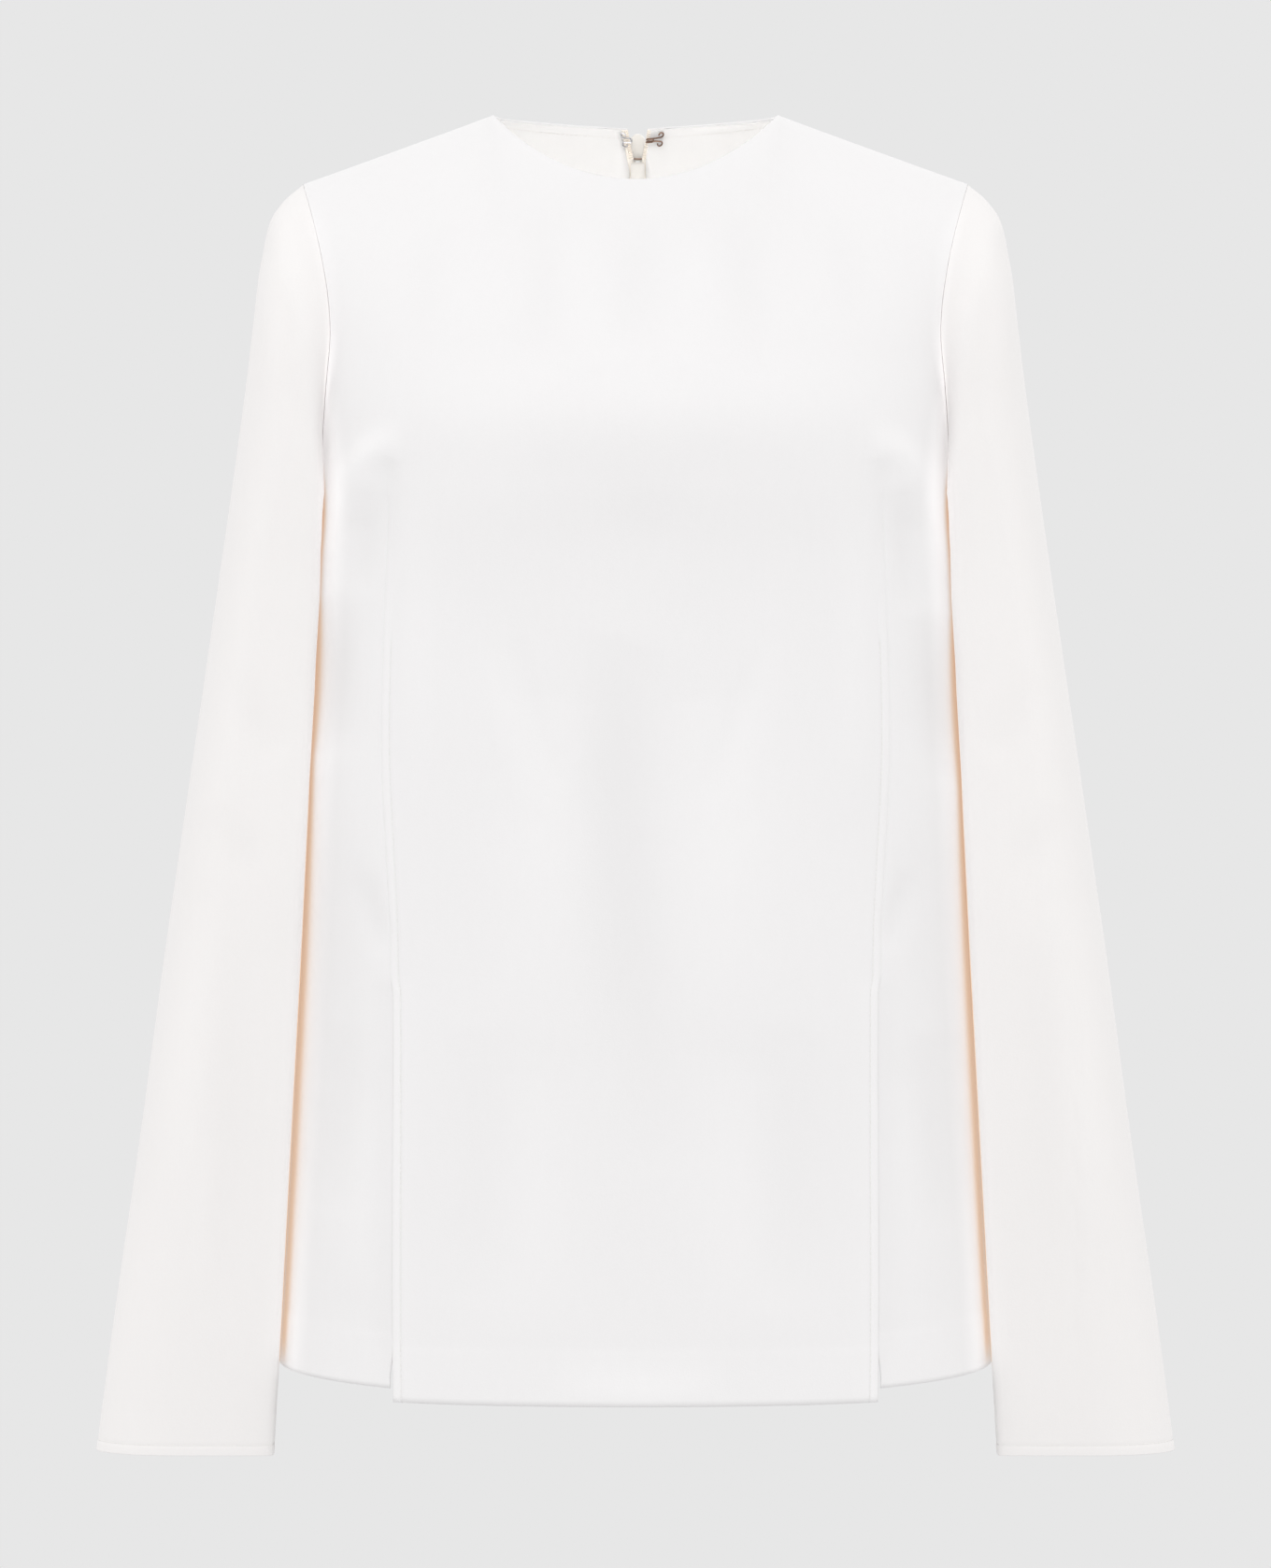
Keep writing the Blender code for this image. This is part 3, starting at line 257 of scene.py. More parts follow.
# Zip and neck facing, under the back's own cloth
LAYER_GAP = 0.0003
TAPE_GAP = 0.0005
TAPE_WALL = 0.0005
TAPE_WIDTH = 0.010
TAPE_TOP_Z = -0.0006
SLIDER_TOP_Z = -0.0150
COIL_INSET = 0.0009
COIL_DEPTH = 0.0030
COIL_RUNS = (
    ("open coil path", TAPE_TOP_Z, SLIDER_TOP_Z, COIL_DEPTH, 30),
    ("closed coil path", SLIDER_END_Z, ZIP_END_Z, COIL_DEPTH, 90),
)
COIL_SIZES = {"Length": 0.0007, "Width": 0.00105, "Thickness": 0.00032}  # half height and width
ZIP_COLUMNS = 24  # of the back's mesh that the zip lies under
BAIL_CENTRE = (0.0012, 0.0735, -0.0158)  # wire across the foot of the pull tab
BAIL_LENGTH = 0.0064
BAIL_RADIUS = 0.0004
BAIL_SIDES = 12
BAIL_SHINE = 1.6  # how much brighter than the hook it is
BAIL_RINGS = ((-1.0, 0.6), (-0.92, 1.0), (0.92, 1.0), (1.0, 0.6))  # place and size as shares
FACING_WALL = 0.0010
FACING_FLAT = 0.0018  # the facing's face under the back's, where no tape lies between
FACING_RAISED = 0.0025
FACING_RAISE = (TAPE_WIDTH + 0.012, TAPE_WIDTH + 0.006)  # from the zip, where it lifts
FACING_JOIN = 0.0040  # near the neckline the facing draws up against the back
FACING_TOUCH = 0.00006
FACING_SETBACK = {1: 0.0008, -1: 0.0035}
FACING_MIN_SETBACK = 0.0044
FACING_END_X = 0.110
FACING_DEPTH = 0.046
FACING_CORNER_RISE = 0.008
FACING_ROWS = 20
UNDERSTITCH_DROP = 0.0047
UNDERSTITCH_GROOVE = Groove(0.0008, 0.00025)
FACING_EDGE = Groove(0.001, 0.0003)  # its edge is pressed thin

FLOOR_Z = -0.90
FLOOR_HALF = 400.0
MIDDLE = (0.0, 0.0, -0.359)
INSIDE = (0.0, -0.020, -0.190)
BACK_NECK = (0.0, 0.066, -0.015)
StudioLight = namedtuple("StudioLight", "name place aim size share colour")
LIGHTS = (
    StudioLight("key light", (-0.2, -3.2, 2.2), MIDDLE, 3.2, 1.0, (1.0, 1.0, 1.0)),
    StudioLight("front fill", (0.2, -3.3, -0.5), MIDDLE, 1.6, 0.06, (1.0, 0.99, 1.0)),
    StudioLight("left fill", (-3.2, -0.6, 0.2), MIDDLE, 2.4, 0.19, (1.0, 0.97, 0.94)),
    StudioLight("right fill", (3.2, -0.6, 0.2), MIDDLE, 2.4, 0.19, (1.0, 0.97, 0.94)),
    StudioLight("back light", (0.4, 3.2, 1.4), MIDDLE, 2.6, 0.53, (1.0, 1.0, 1.0)),
    StudioLight("inside light", INSIDE, BACK_NECK, 0.14, 0.0060, (1.0, 0.99, 0.97)),
)
CAMERA_DISTANCE = 2.8
VIEW_CENTRE_Z = -0.359
VIEW_HEIGHT = 0.839
SENSOR_WIDTH = 36.0

# Soft ridges (height above 0) and troughs along a curve through three points of the front or
# back, given by how far they lie from the middle plane and how high. In millimetres:
# x0, z0, x1, z1, x2, z2, width, height
FRONT_FOLDS = (
    # streaks that fall from the neckline and shoulders
    (-52, -62, -49, -106, -55, -148, 10, -1),
    (5, -64, -1, -101, -2, -140, 12, -1),
    (55, -62, 59, -106, 63, -152, 10, -1),
    (106, -60, 111, -96, 112, -122, 10, -0.9),
    (-106, -62, -111, -101, -115, -134, 10, -0.9),
    (-24, -70, -26, -111, -19, -149, 14, 0.8),
    (29, -70, 31, -115, 26, -149, 14, 0.8),
    # hollows below the dart tips and the cloth that arches over them
    (-125.5, -190, -128, -211, -130, -250, 5.5, -1.1),
    (125.5, -190, 128, -211, 130, -250, 5.5, -1),
    (-148, -224, -142, -192, -120, -184, 9.5, 3.4),
    (148, -224, 142, -192, 120, -184, 9.5, 2.6),
    # side panels
    (-138, -205, -142, -228, -144, -262, 9, -2),
    (138, -205, 142, -230, 144, -270, 9, -2.2),
    (-157, -260, -159, -302, -160, -345, 12, -2.5),
    (156, -270, 159, -312, 160, -360, 12, -2.3),
    (-143, -405, -137, -427, -131, -448, 7, -1.6),
    (143, -403, 137, -424, 131, -446, 7, -1.6),
    (-145, -331, -147, -369, -143, -403, 12, 0.5),
    (145, -326, 147, -364, 143, -398, 12, 0.6),
    (-152, -350, -155, -440, -157, -520, 16, -1.4),
    (152, -350, 155, -440, 157, -520, 16, -1.1),
    (-152, -484, -156, -532, -158, -584, 14, -1.5),
    (153, -489, 157, -537, 158, -594, 14, -1.6),
    (-140, -522, -142, -570, -144, -627, 13, 1),
    (141, -513, 144, -565, 145, -623, 13, 1),
    # the long hollow down the middle and the swells beside it
    (-4, -285, -9, -388, 12, -560, 21, -2.8),
    (-36, -315, -42, -388, -51, -495, 26, 1.6),
    (39, -315, 45, -393, 44, -495, 26, 1.6),
    # drag lines that close in on the middle
    (-61, -283, -50, -321, -38, -362, 5.5, -0.7),
    (57, -290, 47, -331, 34, -372, 5.5, -0.7),
    (-77, -292, -65, -336, -50, -378, 8, 0.6),
    (74, -288, 63, -331, 50, -376, 8, 0.6),
    (-18, -233, 5, -225, 26, -233, 18, -0.6),
    # towards the hem
    (-84, -484, -76, -556, -79, -627, 20, -1.2),
    (-57, -508, -55, -580, -52, -651, 22, 1.2),
    (81, -484, 76, -556, 78, -627, 20, -1.2),
    (56, -508, 55, -580, 57, -651, 22, 1.2),
    (-45, -668, 1, -672, 48, -668, 12, 1.4),
    # beside the darts
    (-112, -216, -113, -292, -112, -379, 9, 0.9),
    (112, -216, 114, -292, 112, -379, 9, 0.9),
)
BACK_FOLDS = (
    # from the neck and the shoulder blades
    (-75, -28, -72, -60, -80, -105, 11, 1.2),
    (75, -28, 73, -62, 82, -100, 11, 1.2),
    (-62, -120, -66, -175, -58, -240, 18, -1.4),
    (66, -115, 62, -170, 66, -230, 18, -1.4),
    (-112, -85, -120, -135, -116, -190, 15, 1.2),
    (110, -90, 119, -140, 121, -186, 15, 1.2),
    # drag lines in the small of the back, below the end of the zip
    (-8, -255, -30, -280, -60, -292, 10, -1),
    (12, -262, 34, -290, 66, -300, 10, -1.1),
    (-12, -300, -42, -325, -78, -330, 14, 0.9),
    (10, -310, 36, -334, 70, -345, 14, 0.9),
    # long soft flutes to the hem
    (-30, -350, -36, -480, -34, -640, 24, -2.4),
    (36, -360, 32, -500, 38, -650, 24, -2.4),
    (-78, -380, -84, -520, -86, -660, 24, 2.2),
    (84, -370, 82, -510, 90, -660, 24, 2.2),
    (-128, -350, -134, -500, -138, -650, 20, -2),
    (130, -360, 137, -510, 139, -650, 20, -2),
    (-158, -250, -160, -310, -162, -380, 12, -1.6),
    (156, -255, 160, -320, 162, -390, 12, -1.6),
)
# On the sleeves, for the left one; the right one mirrors the shared folds and adds its own
SLEEVE_FRONT_FOLDS = (
    (196, -75, 190, -110, 186, -150, 11, 1.2),
    (183, -95, 182, -130, 180, -175, 8, -1.2),
    (208, -300, 196, -330, 186, -345, 10, -1),
    (222, -370, 208, -392, 192, -400, 12, -0.9),
    (228, -420, 235, -500, 243, -600, 14, 1),
    (206, -440, 211, -530, 217, -640, 12, -0.9),
)
SLEEVE_BACK_FOLDS = (
    (192, -90, 190, -140, 184, -190, 12, 1.2),
    (218, -250, 204, -272, 186, -280, 10, -1.4),
    (226, -300, 212, -322, 190, -332, 10, -1.6),
    (232, -345, 216, -362, 196, -368, 12, -1.3),
    (224, -420, 232, -510, 240, -620, 14, 1.2),
    (204, -430, 212, -520, 218, -640, 12, -1.2),
)
LEFT_SLEEVE_FOLDS = (
    (230.5, -440, 231.5, -560, 232, -686, 1.6, -0.6),
)
RIGHT_SLEEVE_FOLDS = (
    (-224, -545, -226.2, -590, -228, -635, 6, 0.7),
)

# ---------------------------------------------------------------- smooth curves through tables


def through(xs, values, at):
    """Smooth values at the places asked for, through table rows at xs, which rise."""
    xs = np.asarray(xs, float)
    values = np.asarray(values, float)
    slopes = np.gradient(values, xs)
    at = np.clip(np.asarray(at, float), xs[0], xs[-1])
    k = np.clip(np.searchsorted(xs, at, side="right") - 1, 0, len(xs) - 2)
    width = xs[k + 1] - xs[k]
    t = (at - xs[k]) / width
    return hermite(values[k], values[k + 1], slopes[k] * width, slopes[k + 1] * width, t)


def hermite(start, end, leave, arrive, t):
    """Cubic from start to end with the given end slopes."""
    return (
        (2 * t**3 - 3 * t**2 + 1) * start
        + (t**3 - 2 * t**2 + t) * leave
        + (3 * t**2 - 2 * t**3) * end
        + (t**3 - t**2) * arrive
    )


def torso(column, z):
    """One column of the TORSO table at heights z."""
    rows = TORSO[::-1]
    return through([r.z for r in rows], [getattr(r, column) for r in rows], z)


def ease(start, end, at):
    """0 before start, 1 after end and smooth between them; start may lie above end."""
    t = np.clip((np.asarray(at, float) - start) / (end - start), 0.0, 1.0)
    return t * t * (3 - 2 * t)


def unit(vectors):
    """Vectors scaled to length 1."""
    return vectors / np.maximum(np.linalg.norm(vectors, axis=-1, keepdims=True), 1e-12)


def lookup(at, xs, ys):
    """For each row of two tables, the value in ys where the rising xs reach at."""
    k = np.clip((xs <= at[:, None]).sum(axis=1) - 1, 0, xs.shape[1] - 2)
    row = np.arange(len(at))
    low, high = xs[row, k], xs[row, k + 1]
    t = np.clip((at - low) / np.maximum(high - low, 1e-12), 0.0, 1.0)
    return ys[row, k] + t * (ys[row, k + 1] - ys[row, k])


def distances(points, axis):
    """Distance along the rows (axis 1) or columns (axis 0) of a grid, from its first point."""
    steps = np.linalg.norm(np.diff(points, axis=axis), axis=-1)
    pad = np.zeros_like(np.take(steps, [0], axis=axis))
    return np.cumsum(np.concatenate([pad, steps], axis=axis), axis=axis)


def sample_grid(grid, row, column):
    """Values of a grid at fractional rows and columns."""
    i = np.clip(row.astype(int), 0, grid.shape[0] - 2)
    j = np.clip(column.astype(int), 0, grid.shape[1] - 2)
    s = (row - i)[..., None]
    t = (column - j)[..., None]
    above = grid[i, j] * (1 - t) + grid[i, j + 1] * t
    below = grid[i + 1, j] * (1 - t) + grid[i + 1, j + 1] * t
    return above * (1 - s) + below * s


# ---------------------------------------------------------------- body form


def sections(z, share, side):
    """Points of the front (side -1) or back (1) at heights z, a share across from the centre."""
    z, share = np.broadcast_arrays(np.asarray(z, float), np.asarray(share, float))
    flat_z, flat_share = z.ravel(), share.ravel()
    out = np.empty((flat_z.size, 3))
    for first in range(0, flat_z.size, 6000):
        batch = slice(first, first + 6000)
        out[batch] = section_batch(flat_z[batch], flat_share[batch], side)
    return out.reshape(z.shape + (3,))


def section_batch(z, share, side):
    """sections() for one batch of flat arrays."""
    angle = np.linspace(0.0, math.pi / 2, 161)
    power = torso("squareness", z)[:, None]
    across = np.sin(angle) / torso("half_width", z)[:, None]
    along = np.cos(angle) / torso("front" if side < 0 else "back", z)[:, None]
    radius = (across**power + along**power) ** (-1 / power)
    x, depth = radius * np.sin(angle), radius * np.cos(angle)
    steps = np.hypot(np.diff(x, axis=1), np.diff(depth, axis=1))
    lengths = np.concatenate([np.zeros((len(z), 1)), np.cumsum(steps, axis=1)], axis=1)
    drop = np.clip((CHEST_Z - z) / (CHEST_Z - UNDERARM_Z), 0.0, 1.0)
    end = lookup(-ARMHOLE_DEPTH[side] * np.sqrt(1 - drop**2), -depth, lengths)
    distance = share * end
    if side < 0:
        dart = lookup(torso("dart_x", z), x, lengths)
        beyond = dart + (2 * share - 1) * (end - dart)
        distance = np.where(share < 0.5, 2 * share * dart, beyond)
    y = SIDE_SEAM_Y + side * lookup(distance, lengths, depth)
    return np.stack([lookup(distance, lengths, x), y, z], axis=1)


def top_edge(share, side):
    """Neckline from the centre to the shoulder, then the shoulder seam."""
    corner = NECK_CORNER[side]
    turn = np.clip(share / corner, 0.0, 1.0) * math.pi / 2
    t = np.clip((share - corner) / (1 - corner), 0.0, 1.0)
    neck_y = NECK_FRONT_Y if side < 0 else NECK_BACK_Y
    y = NECK_SIDE_Y + (neck_y - NECK_SIDE_Y) * np.cos(turn)
    if side < 0:
        z = -NECK_FRONT_DROP * np.maximum(np.cos(turn), 0.0) ** 1.7
    else:
        z = NECK_BACK_RISE * np.sin(2 * turn)
    x = NECK_HALF_WIDTH * np.sin(turn)
    neck = np.stack([x, y, z], axis=-1)
    x = NECK_HALF_WIDTH + t * (SHOULDER_X - NECK_HALF_WIDTH)
    seam = np.stack([x, NECK_SIDE_Y + t * (SHOULDER_Y - NECK_SIDE_Y), t * SHOULDER_Z], axis=-1)
    return np.where((share < corner)[..., None], neck, seam)


def leave_top(share, side):
    """Direction in which the cloth leaves its top edge."""
    rows = LEAVE[side]
    shares = [row.share for row in rows]
    return np.stack([through(shares, [row[k] for row in rows], share) for k in (1, 2, 3)], axis=-1)


def upper_form(share, side):
    """Ends and end slopes of the curves that run from the top edge down to the chest."""
    start, end = top_edge(share, side), sections(CHEST_Z, share, side)
    below, above = (sections(CHEST_Z + step, share, side) for step in (-SLOPE_STEP, SLOPE_STEP))
    fall = (below - above) / (2 * SLOPE_STEP)
    fall = fall * np.linalg.norm(end - start, axis=-1, keepdims=True)
    return start, end, leave_top(share, side), fall


def side_height(centre_z):
    """Height at the side of a row whose height at the centre is given."""
    armhole_turns = np.interp(-centre_z, ARMHOLE_ROWS[0], np.radians(ARMHOLE_ROWS[1]))
    on_armhole = CHEST_Z - (CHEST_Z - UNDERARM_Z) * np.sin(armhole_turns)
    below = -np.interp(-centre_z, LEVELLING[0], LEVELLING[1])
    return np.where(centre_z >= -ARMHOLE_ROWS[0][-1], on_armhole, below)


def row_levels():
    """Centre heights of the rows from the chest to the hem, closer together at the armhole."""
    near_armhole = np.arange(CHEST_Z, UNDERARM_ROWS[0], -ARMHOLE_STEP)
    at_underarm = np.arange(*UNDERARM_ROWS, -UNDERARM_STEP)
    below = np.linspace(BELOW_TOP_Z, HEM_CENTRE_Z, BELOW_ROWS)
    return np.concatenate([near_armhole, at_underarm, below])


def body_grid(share, side, hem):
    """The smooth form of a front or back half: rows from the top edge to the hem."""
    start, end, leave, fall = upper_form(share, side)
    edge_steps = VISIBLE_GAP + np.array(EDGE_COLUMNS)[:, None]
    edge = edge_steps / np.linalg.norm(leave, axis=-1)
    rest = np.linspace(0.0, 1.0, UPPER_ROWS)[1:-1, None]
    t = np.concatenate([edge, edge[-1] + rest * (1 - edge[-1])])[..., None]
    upper = hermite(start, end, leave, fall, t)
    centre_z = row_levels()[:, None]
    z = centre_z + (side_height(centre_z) - centre_z) * share**4
    blend = (HEM_BLEND_Z - z) / (HEM_BLEND_Z - HEM_CENTRE_Z)
    z = np.where(blend > 0, HEM_BLEND_Z + blend * (hem - HEM_BLEND_Z), z)
    grid = np.concatenate([upper, sections(z, np.broadcast_to(share, z.shape), side)])
    return soften_corner(grid, share, NECK_CORNER[side])


def soften_corner(grid, share, corner):
    """Fade out the crease that would run down from where neckline and shoulder seam meet."""
    near = ease(*CORNER_REACH, np.abs(share - corner))[1:-1]
    down = distances(grid, 0)[:, 1:-1]
    strength = (near * ease(*CORNER_TOP, down) * ease(*CORNER_END, down))[..., None]
    before, after = np.diff(share)[:-1, None], np.diff(share)[1:, None]
    for _ in range(CORNER_PASSES):
        middle = (grid[:, :-2] * after + grid[:, 2:] * before) / (before + after)
        grid[:, 1:-1] += strength * (middle - grid[:, 1:-1])
    return grid


def grid_normals(points, wrapped=False):
    """Unit normals of a grid, from its rows and columns."""
    if wrapped:
        across = np.roll(points, -1, axis=1) - np.roll(points, 1, axis=1)
    else:
        across = np.gradient(points, axis=1)
    return unit(np.cross(np.gradient(points, axis=0), across))


# ---------------------------------------------------------------- folds


def fold_path(first, middle, last):
    """Points (x, z) on the curve through a fold's three points."""
    t = np.linspace(0.0, 1.0, 25)[:, None]
    bend = 2 * middle - (first + last) / 2
    return (1 - t) ** 2 * first + 2 * t * (1 - t) * bend + t**2 * last


def fold_heights(points, folds, flip=1.0):
    """How far soft folds lift each point of a grid, judged in its front or back view."""
    shape = points.shape[:-1]
    places = np.stack([points[..., 0].ravel() * flip, points[..., 2].ravel()], axis=1)
    height = np.zeros(len(places))
    for row in np.array(folds) / 1000:
        path = fold_path(*row[:6].reshape(3, 2))
        width, lift = row[6:]
        reach = FOLD_REACH * width
        inside = (places > path.min(axis=0) - reach) & (places < path.max(axis=0) + reach)
        near = np.flatnonzero(inside.all(axis=1))
        here = places[near][:, None]
        along = path[1:] - path[:-1]
        t = ((here - path[:-1]) * along).sum(-1) / (along**2).sum(-1)
        t = np.clip(t, 0.0, 1.0)
        away = np.linalg.norm(here - path[:-1] - t[..., None] * along, axis=-1)
        nearest = away.argmin(axis=1)
        pick = np.arange(len(near))
        place = (nearest + t[pick, nearest]) / len(along)
        fade = np.sin(math.pi * np.clip(place, 0.0, 1.0)) ** FOLD_TAPER
        height[near] += lift * fade * np.exp(-((away[pick, nearest] / width) ** 2))
    return height.reshape(shape)


def groove(distance, width, depth):
    """A narrow hollow along a line, at distances from it."""
    return -depth * np.exp(-((distance / width) ** 2))


# ---------------------------------------------------------------- meshes


def shell(name, outer, inner, material, weld=None, gaps=(), wrapped=False, tones=None):
    """A closed cloth shell from two grids: faces on both sides and a rim round every edge.

    weld gives each grid point the flat index of the point that stands for it, gaps are
    columns after which no face is made, and tones holds values for the outer side's points.
    """
    rows, columns = outer.shape[:2]
    index = np.arange(rows * columns).reshape(rows, columns) if weld is None else weld
    right = np.roll(index, -1, axis=1) if wrapped else index[:, 1:]
    left = index if wrapped else index[:, :-1]
    quads = np.stack([left[:-1], left[1:], right[1:], right[:-1]], axis=-1)
    keep = np.ones(quads.shape[1], bool)
    keep[list(gaps)] = False
    quads = quads[:, keep].reshape(-1, 4)
    if (grid_normals(outer, wrapped) * (outer - inner)).sum() < 0:
        quads = quads[:, ::-1]
    edges = np.concatenate([quads[:, [k, (k + 1) % 4]] for k in range(4)])
    key = np.sort(edges, axis=1) @ np.array([rows * columns, 1])
    _, first, count = np.unique(key, return_index=True, return_counts=True)
    rim = edges[first[count == 1]]
    size = rows * columns
    rim_quads = np.stack([rim[:, 1], rim[:, 0], rim[:, 0] + size, rim[:, 1] + size], axis=1)
    faces = np.concatenate([quads, quads[:, ::-1] + size, rim_quads])
    points = np.concatenate([outer.reshape(-1, 3), inner.reshape(-1, 3)])
    used, faces = np.unique(faces, return_inverse=True)
    faces = faces.reshape(-1, 4)
    flat = np.zeros(len(faces), bool)
    flat[2 * len(quads) :] = True
    made = mesh_object(name, points[used], faces, material, flat)
    for label, values in (tones or {}).items():
        both = np.concatenate([values.ravel(), 0 * values.ravel()])[used]
        layer = made.data.attributes.new(label, "FLOAT", "POINT")
        layer.data.foreach_set("value", both.astype(np.float32))
    return made


def handed_shell(hand, name, outer, inner, material, tones=None, wrapped=False):
    """A shell from grids worked out at +X (hand 1) or mirrored to -X (hand -1)."""
    turned = slice(None, None, hand)
    tones = {label: values[:, turned] for label, values in (tones or {}).items()}
    return shell(
        name, outer[:, turned], inner[:, turned], material, wrapped=wrapped, tones=tones
    )


def add_object(name, data):
    """An object for some data, put into the scene."""
    made = bpy.data.objects.new(name, data)
    bpy.context.scene.collection.objects.link(made)
    return made


def mesh_object(name, points, faces, material, flat=None):
    """An object with a mesh of quads; flat marks the faces that aren't shaded smooth."""
    mesh = bpy.data.meshes.new(name)
    mesh.vertices.add(len(points))
    mesh.vertices.foreach_set("co", points.astype(np.float32).ravel())
    mesh.loops.add(faces.size)
    mesh.loops.foreach_set("vertex_index", faces.astype(np.int32).ravel())
    mesh.polygons.add(len(faces))
    mesh.polygons.foreach_set("loop_start", np.arange(0, faces.size, 4, dtype=np.int32))
    if flat is not None:
        layer = mesh.attributes.new("sharp_face", "BOOLEAN", "FACE")
        layer.data.foreach_set("value", flat)
    mesh.update(calc_edges=True)
    mesh.validate()
    mesh.materials.append(material)
    return add_object(name, mesh)


def finish_piece(made, body, nodes=()):
    """Fix a finished piece to its body and hide the solids it stands for."""
    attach(made, body)
    if nodes:
        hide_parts(*nodes)
    return made


# ---------------------------------------------------------------- panels


def shares_between(first, last, step):
    """Even shares from first up to but without last."""
    return first + (last - first) * np.arange(0, 1, 1 / round((last - first) / step))


def front_shares():
    """Shares of the front's columns: (centre panel, side panel), both with the dart line."""
    near = np.array(DART_COLUMNS[::-1]) * 0.5 / CENTRE_PANEL_WIDTH
    step = SHARE_STEP["centre"]
    neck = shares_between(0.0, NECK_CORNER[-1], step)
    chest = shares_between(NECK_CORNER[-1], 0.5 - near[0], step)
    beyond = 0.5 + np.array(DART_COLUMNS[:4]) * 0.5 / SIDE_PANEL_WIDTH
    ends = 1 - (VISIBLE_GAP + np.array(EDGE_COLUMNS[::-1])) * 0.5 / SIDE_PANEL_WIDTH
    between = shares_between(beyond[-1], ends[0], SHARE_STEP["side"])[1:]
    return np.concatenate([neck, chest, 0.5 - near]), np.concatenate([beyond, between, ends])


def edge_roll(distance, strength=1.0):
    """How far cloth sinks beside a seam or turns over at an edge."""
    return groove(distance, SEAM_ROLL.width, SEAM_ROLL.depth * strength)


def side_roll(z):
    """How strongly cloth sinks into its side seam, and more softly into the armhole above."""
    return SOFT_ROLL + (1 - SOFT_ROLL) * ease(UNDERARM_Z, UNDERARM_Z - 0.015, z)


def hem_line(distance, depth):
    """Slight step where a turned hem ends, by distance up from the edge."""
    rise = HEM_RISE * ease(depth + HEM_GROOVE.width, depth - HEM_GROOVE.width, distance)
    return rise + groove(distance - depth, *HEM_GROOVE)


def zip_half_gap(z):
    """Half the distance between the back's centre edges at heights z."""
    rise = np.clip((z - ZIP_OPEN_END_Z) / (NECK_BACK_RISE - ZIP_OPEN_END_Z), 0.0, 1.0)
    return VISIBLE_GAP + (ZIP_OPEN_HALF - VISIBLE_GAP) * rise


def mirror_to(hand):
    """What turns points at +X into the left side's (hand 1) or the right side's (-1)."""
    return np.array([hand, 1.0, 1.0])


def armhole_fill(z):
    """How strongly painted glow fills the shade at the armhole seam: most low down, where it is
    deep.
    """
    high, low = ARMHOLE_FILL
    return high * ease(*ARMHOLE_TOP, z) + low * ease(*BESIDE_SLEEVE, z)


def underarm_fill(z):
    """How much more painted glow fills the shade where body and sleeve meet under the arm."""
    return 1 + UNDERARM_FILL * ease(-0.250, -0.205, z) * ease(-0.110, -0.150, z)


def seam_fill(to_seam, reach):
    """How much of that painted glow shows at distances from the armhole seam."""
    return ease(reach, SEAM_START, to_seam) + SEAM_FILL * ease(SEAM_LINE, 0.0, to_seam)


def body_tones(points, relief):
    """Painted light on the body's cloth, from its points and how far they are lifted: glow and warm
    bounce tint beside the sleeves, shade and highlight by relief.
    """
    to_seam = distances(points, 1)
    to_seam = np.minimum(to_seam, to_seam[:, -1:] - to_seam)
    x, y, z = np.abs(points[..., 0]), points[..., 1], points[..., 2]
    to_side = torso("half_width", z) - x
    beside_sleeve = ease(*BESIDE_SLEEVE, z)
    # Painted warm bounce light right at the body's side, beside the sleeve
    warmth = ease(*BODY_GLOW, to_side) * beside_sleeve * ease(*GLOW_FRONT, y)
    # Painted glow that fills the shade near the body's side and along the armhole seam
    hemmed = ease(*BODY_FILL, to_side) * (beside_sleeve * ease(*FILL_FRONT, y))
    outside = x > 0.100
    in_armhole = armhole_fill(z) * ease(*SEAM_UNDERARM, z) * ease(*SEAM_FRONT, y) * outside
    hemmed = np.maximum(hemmed, seam_fill(to_seam, BODY_SEAM_REACH) * in_armhole)
    return {"warmth": warmth, "hemmed": hemmed * underarm_fill(z), "relief": 1000 * relief}


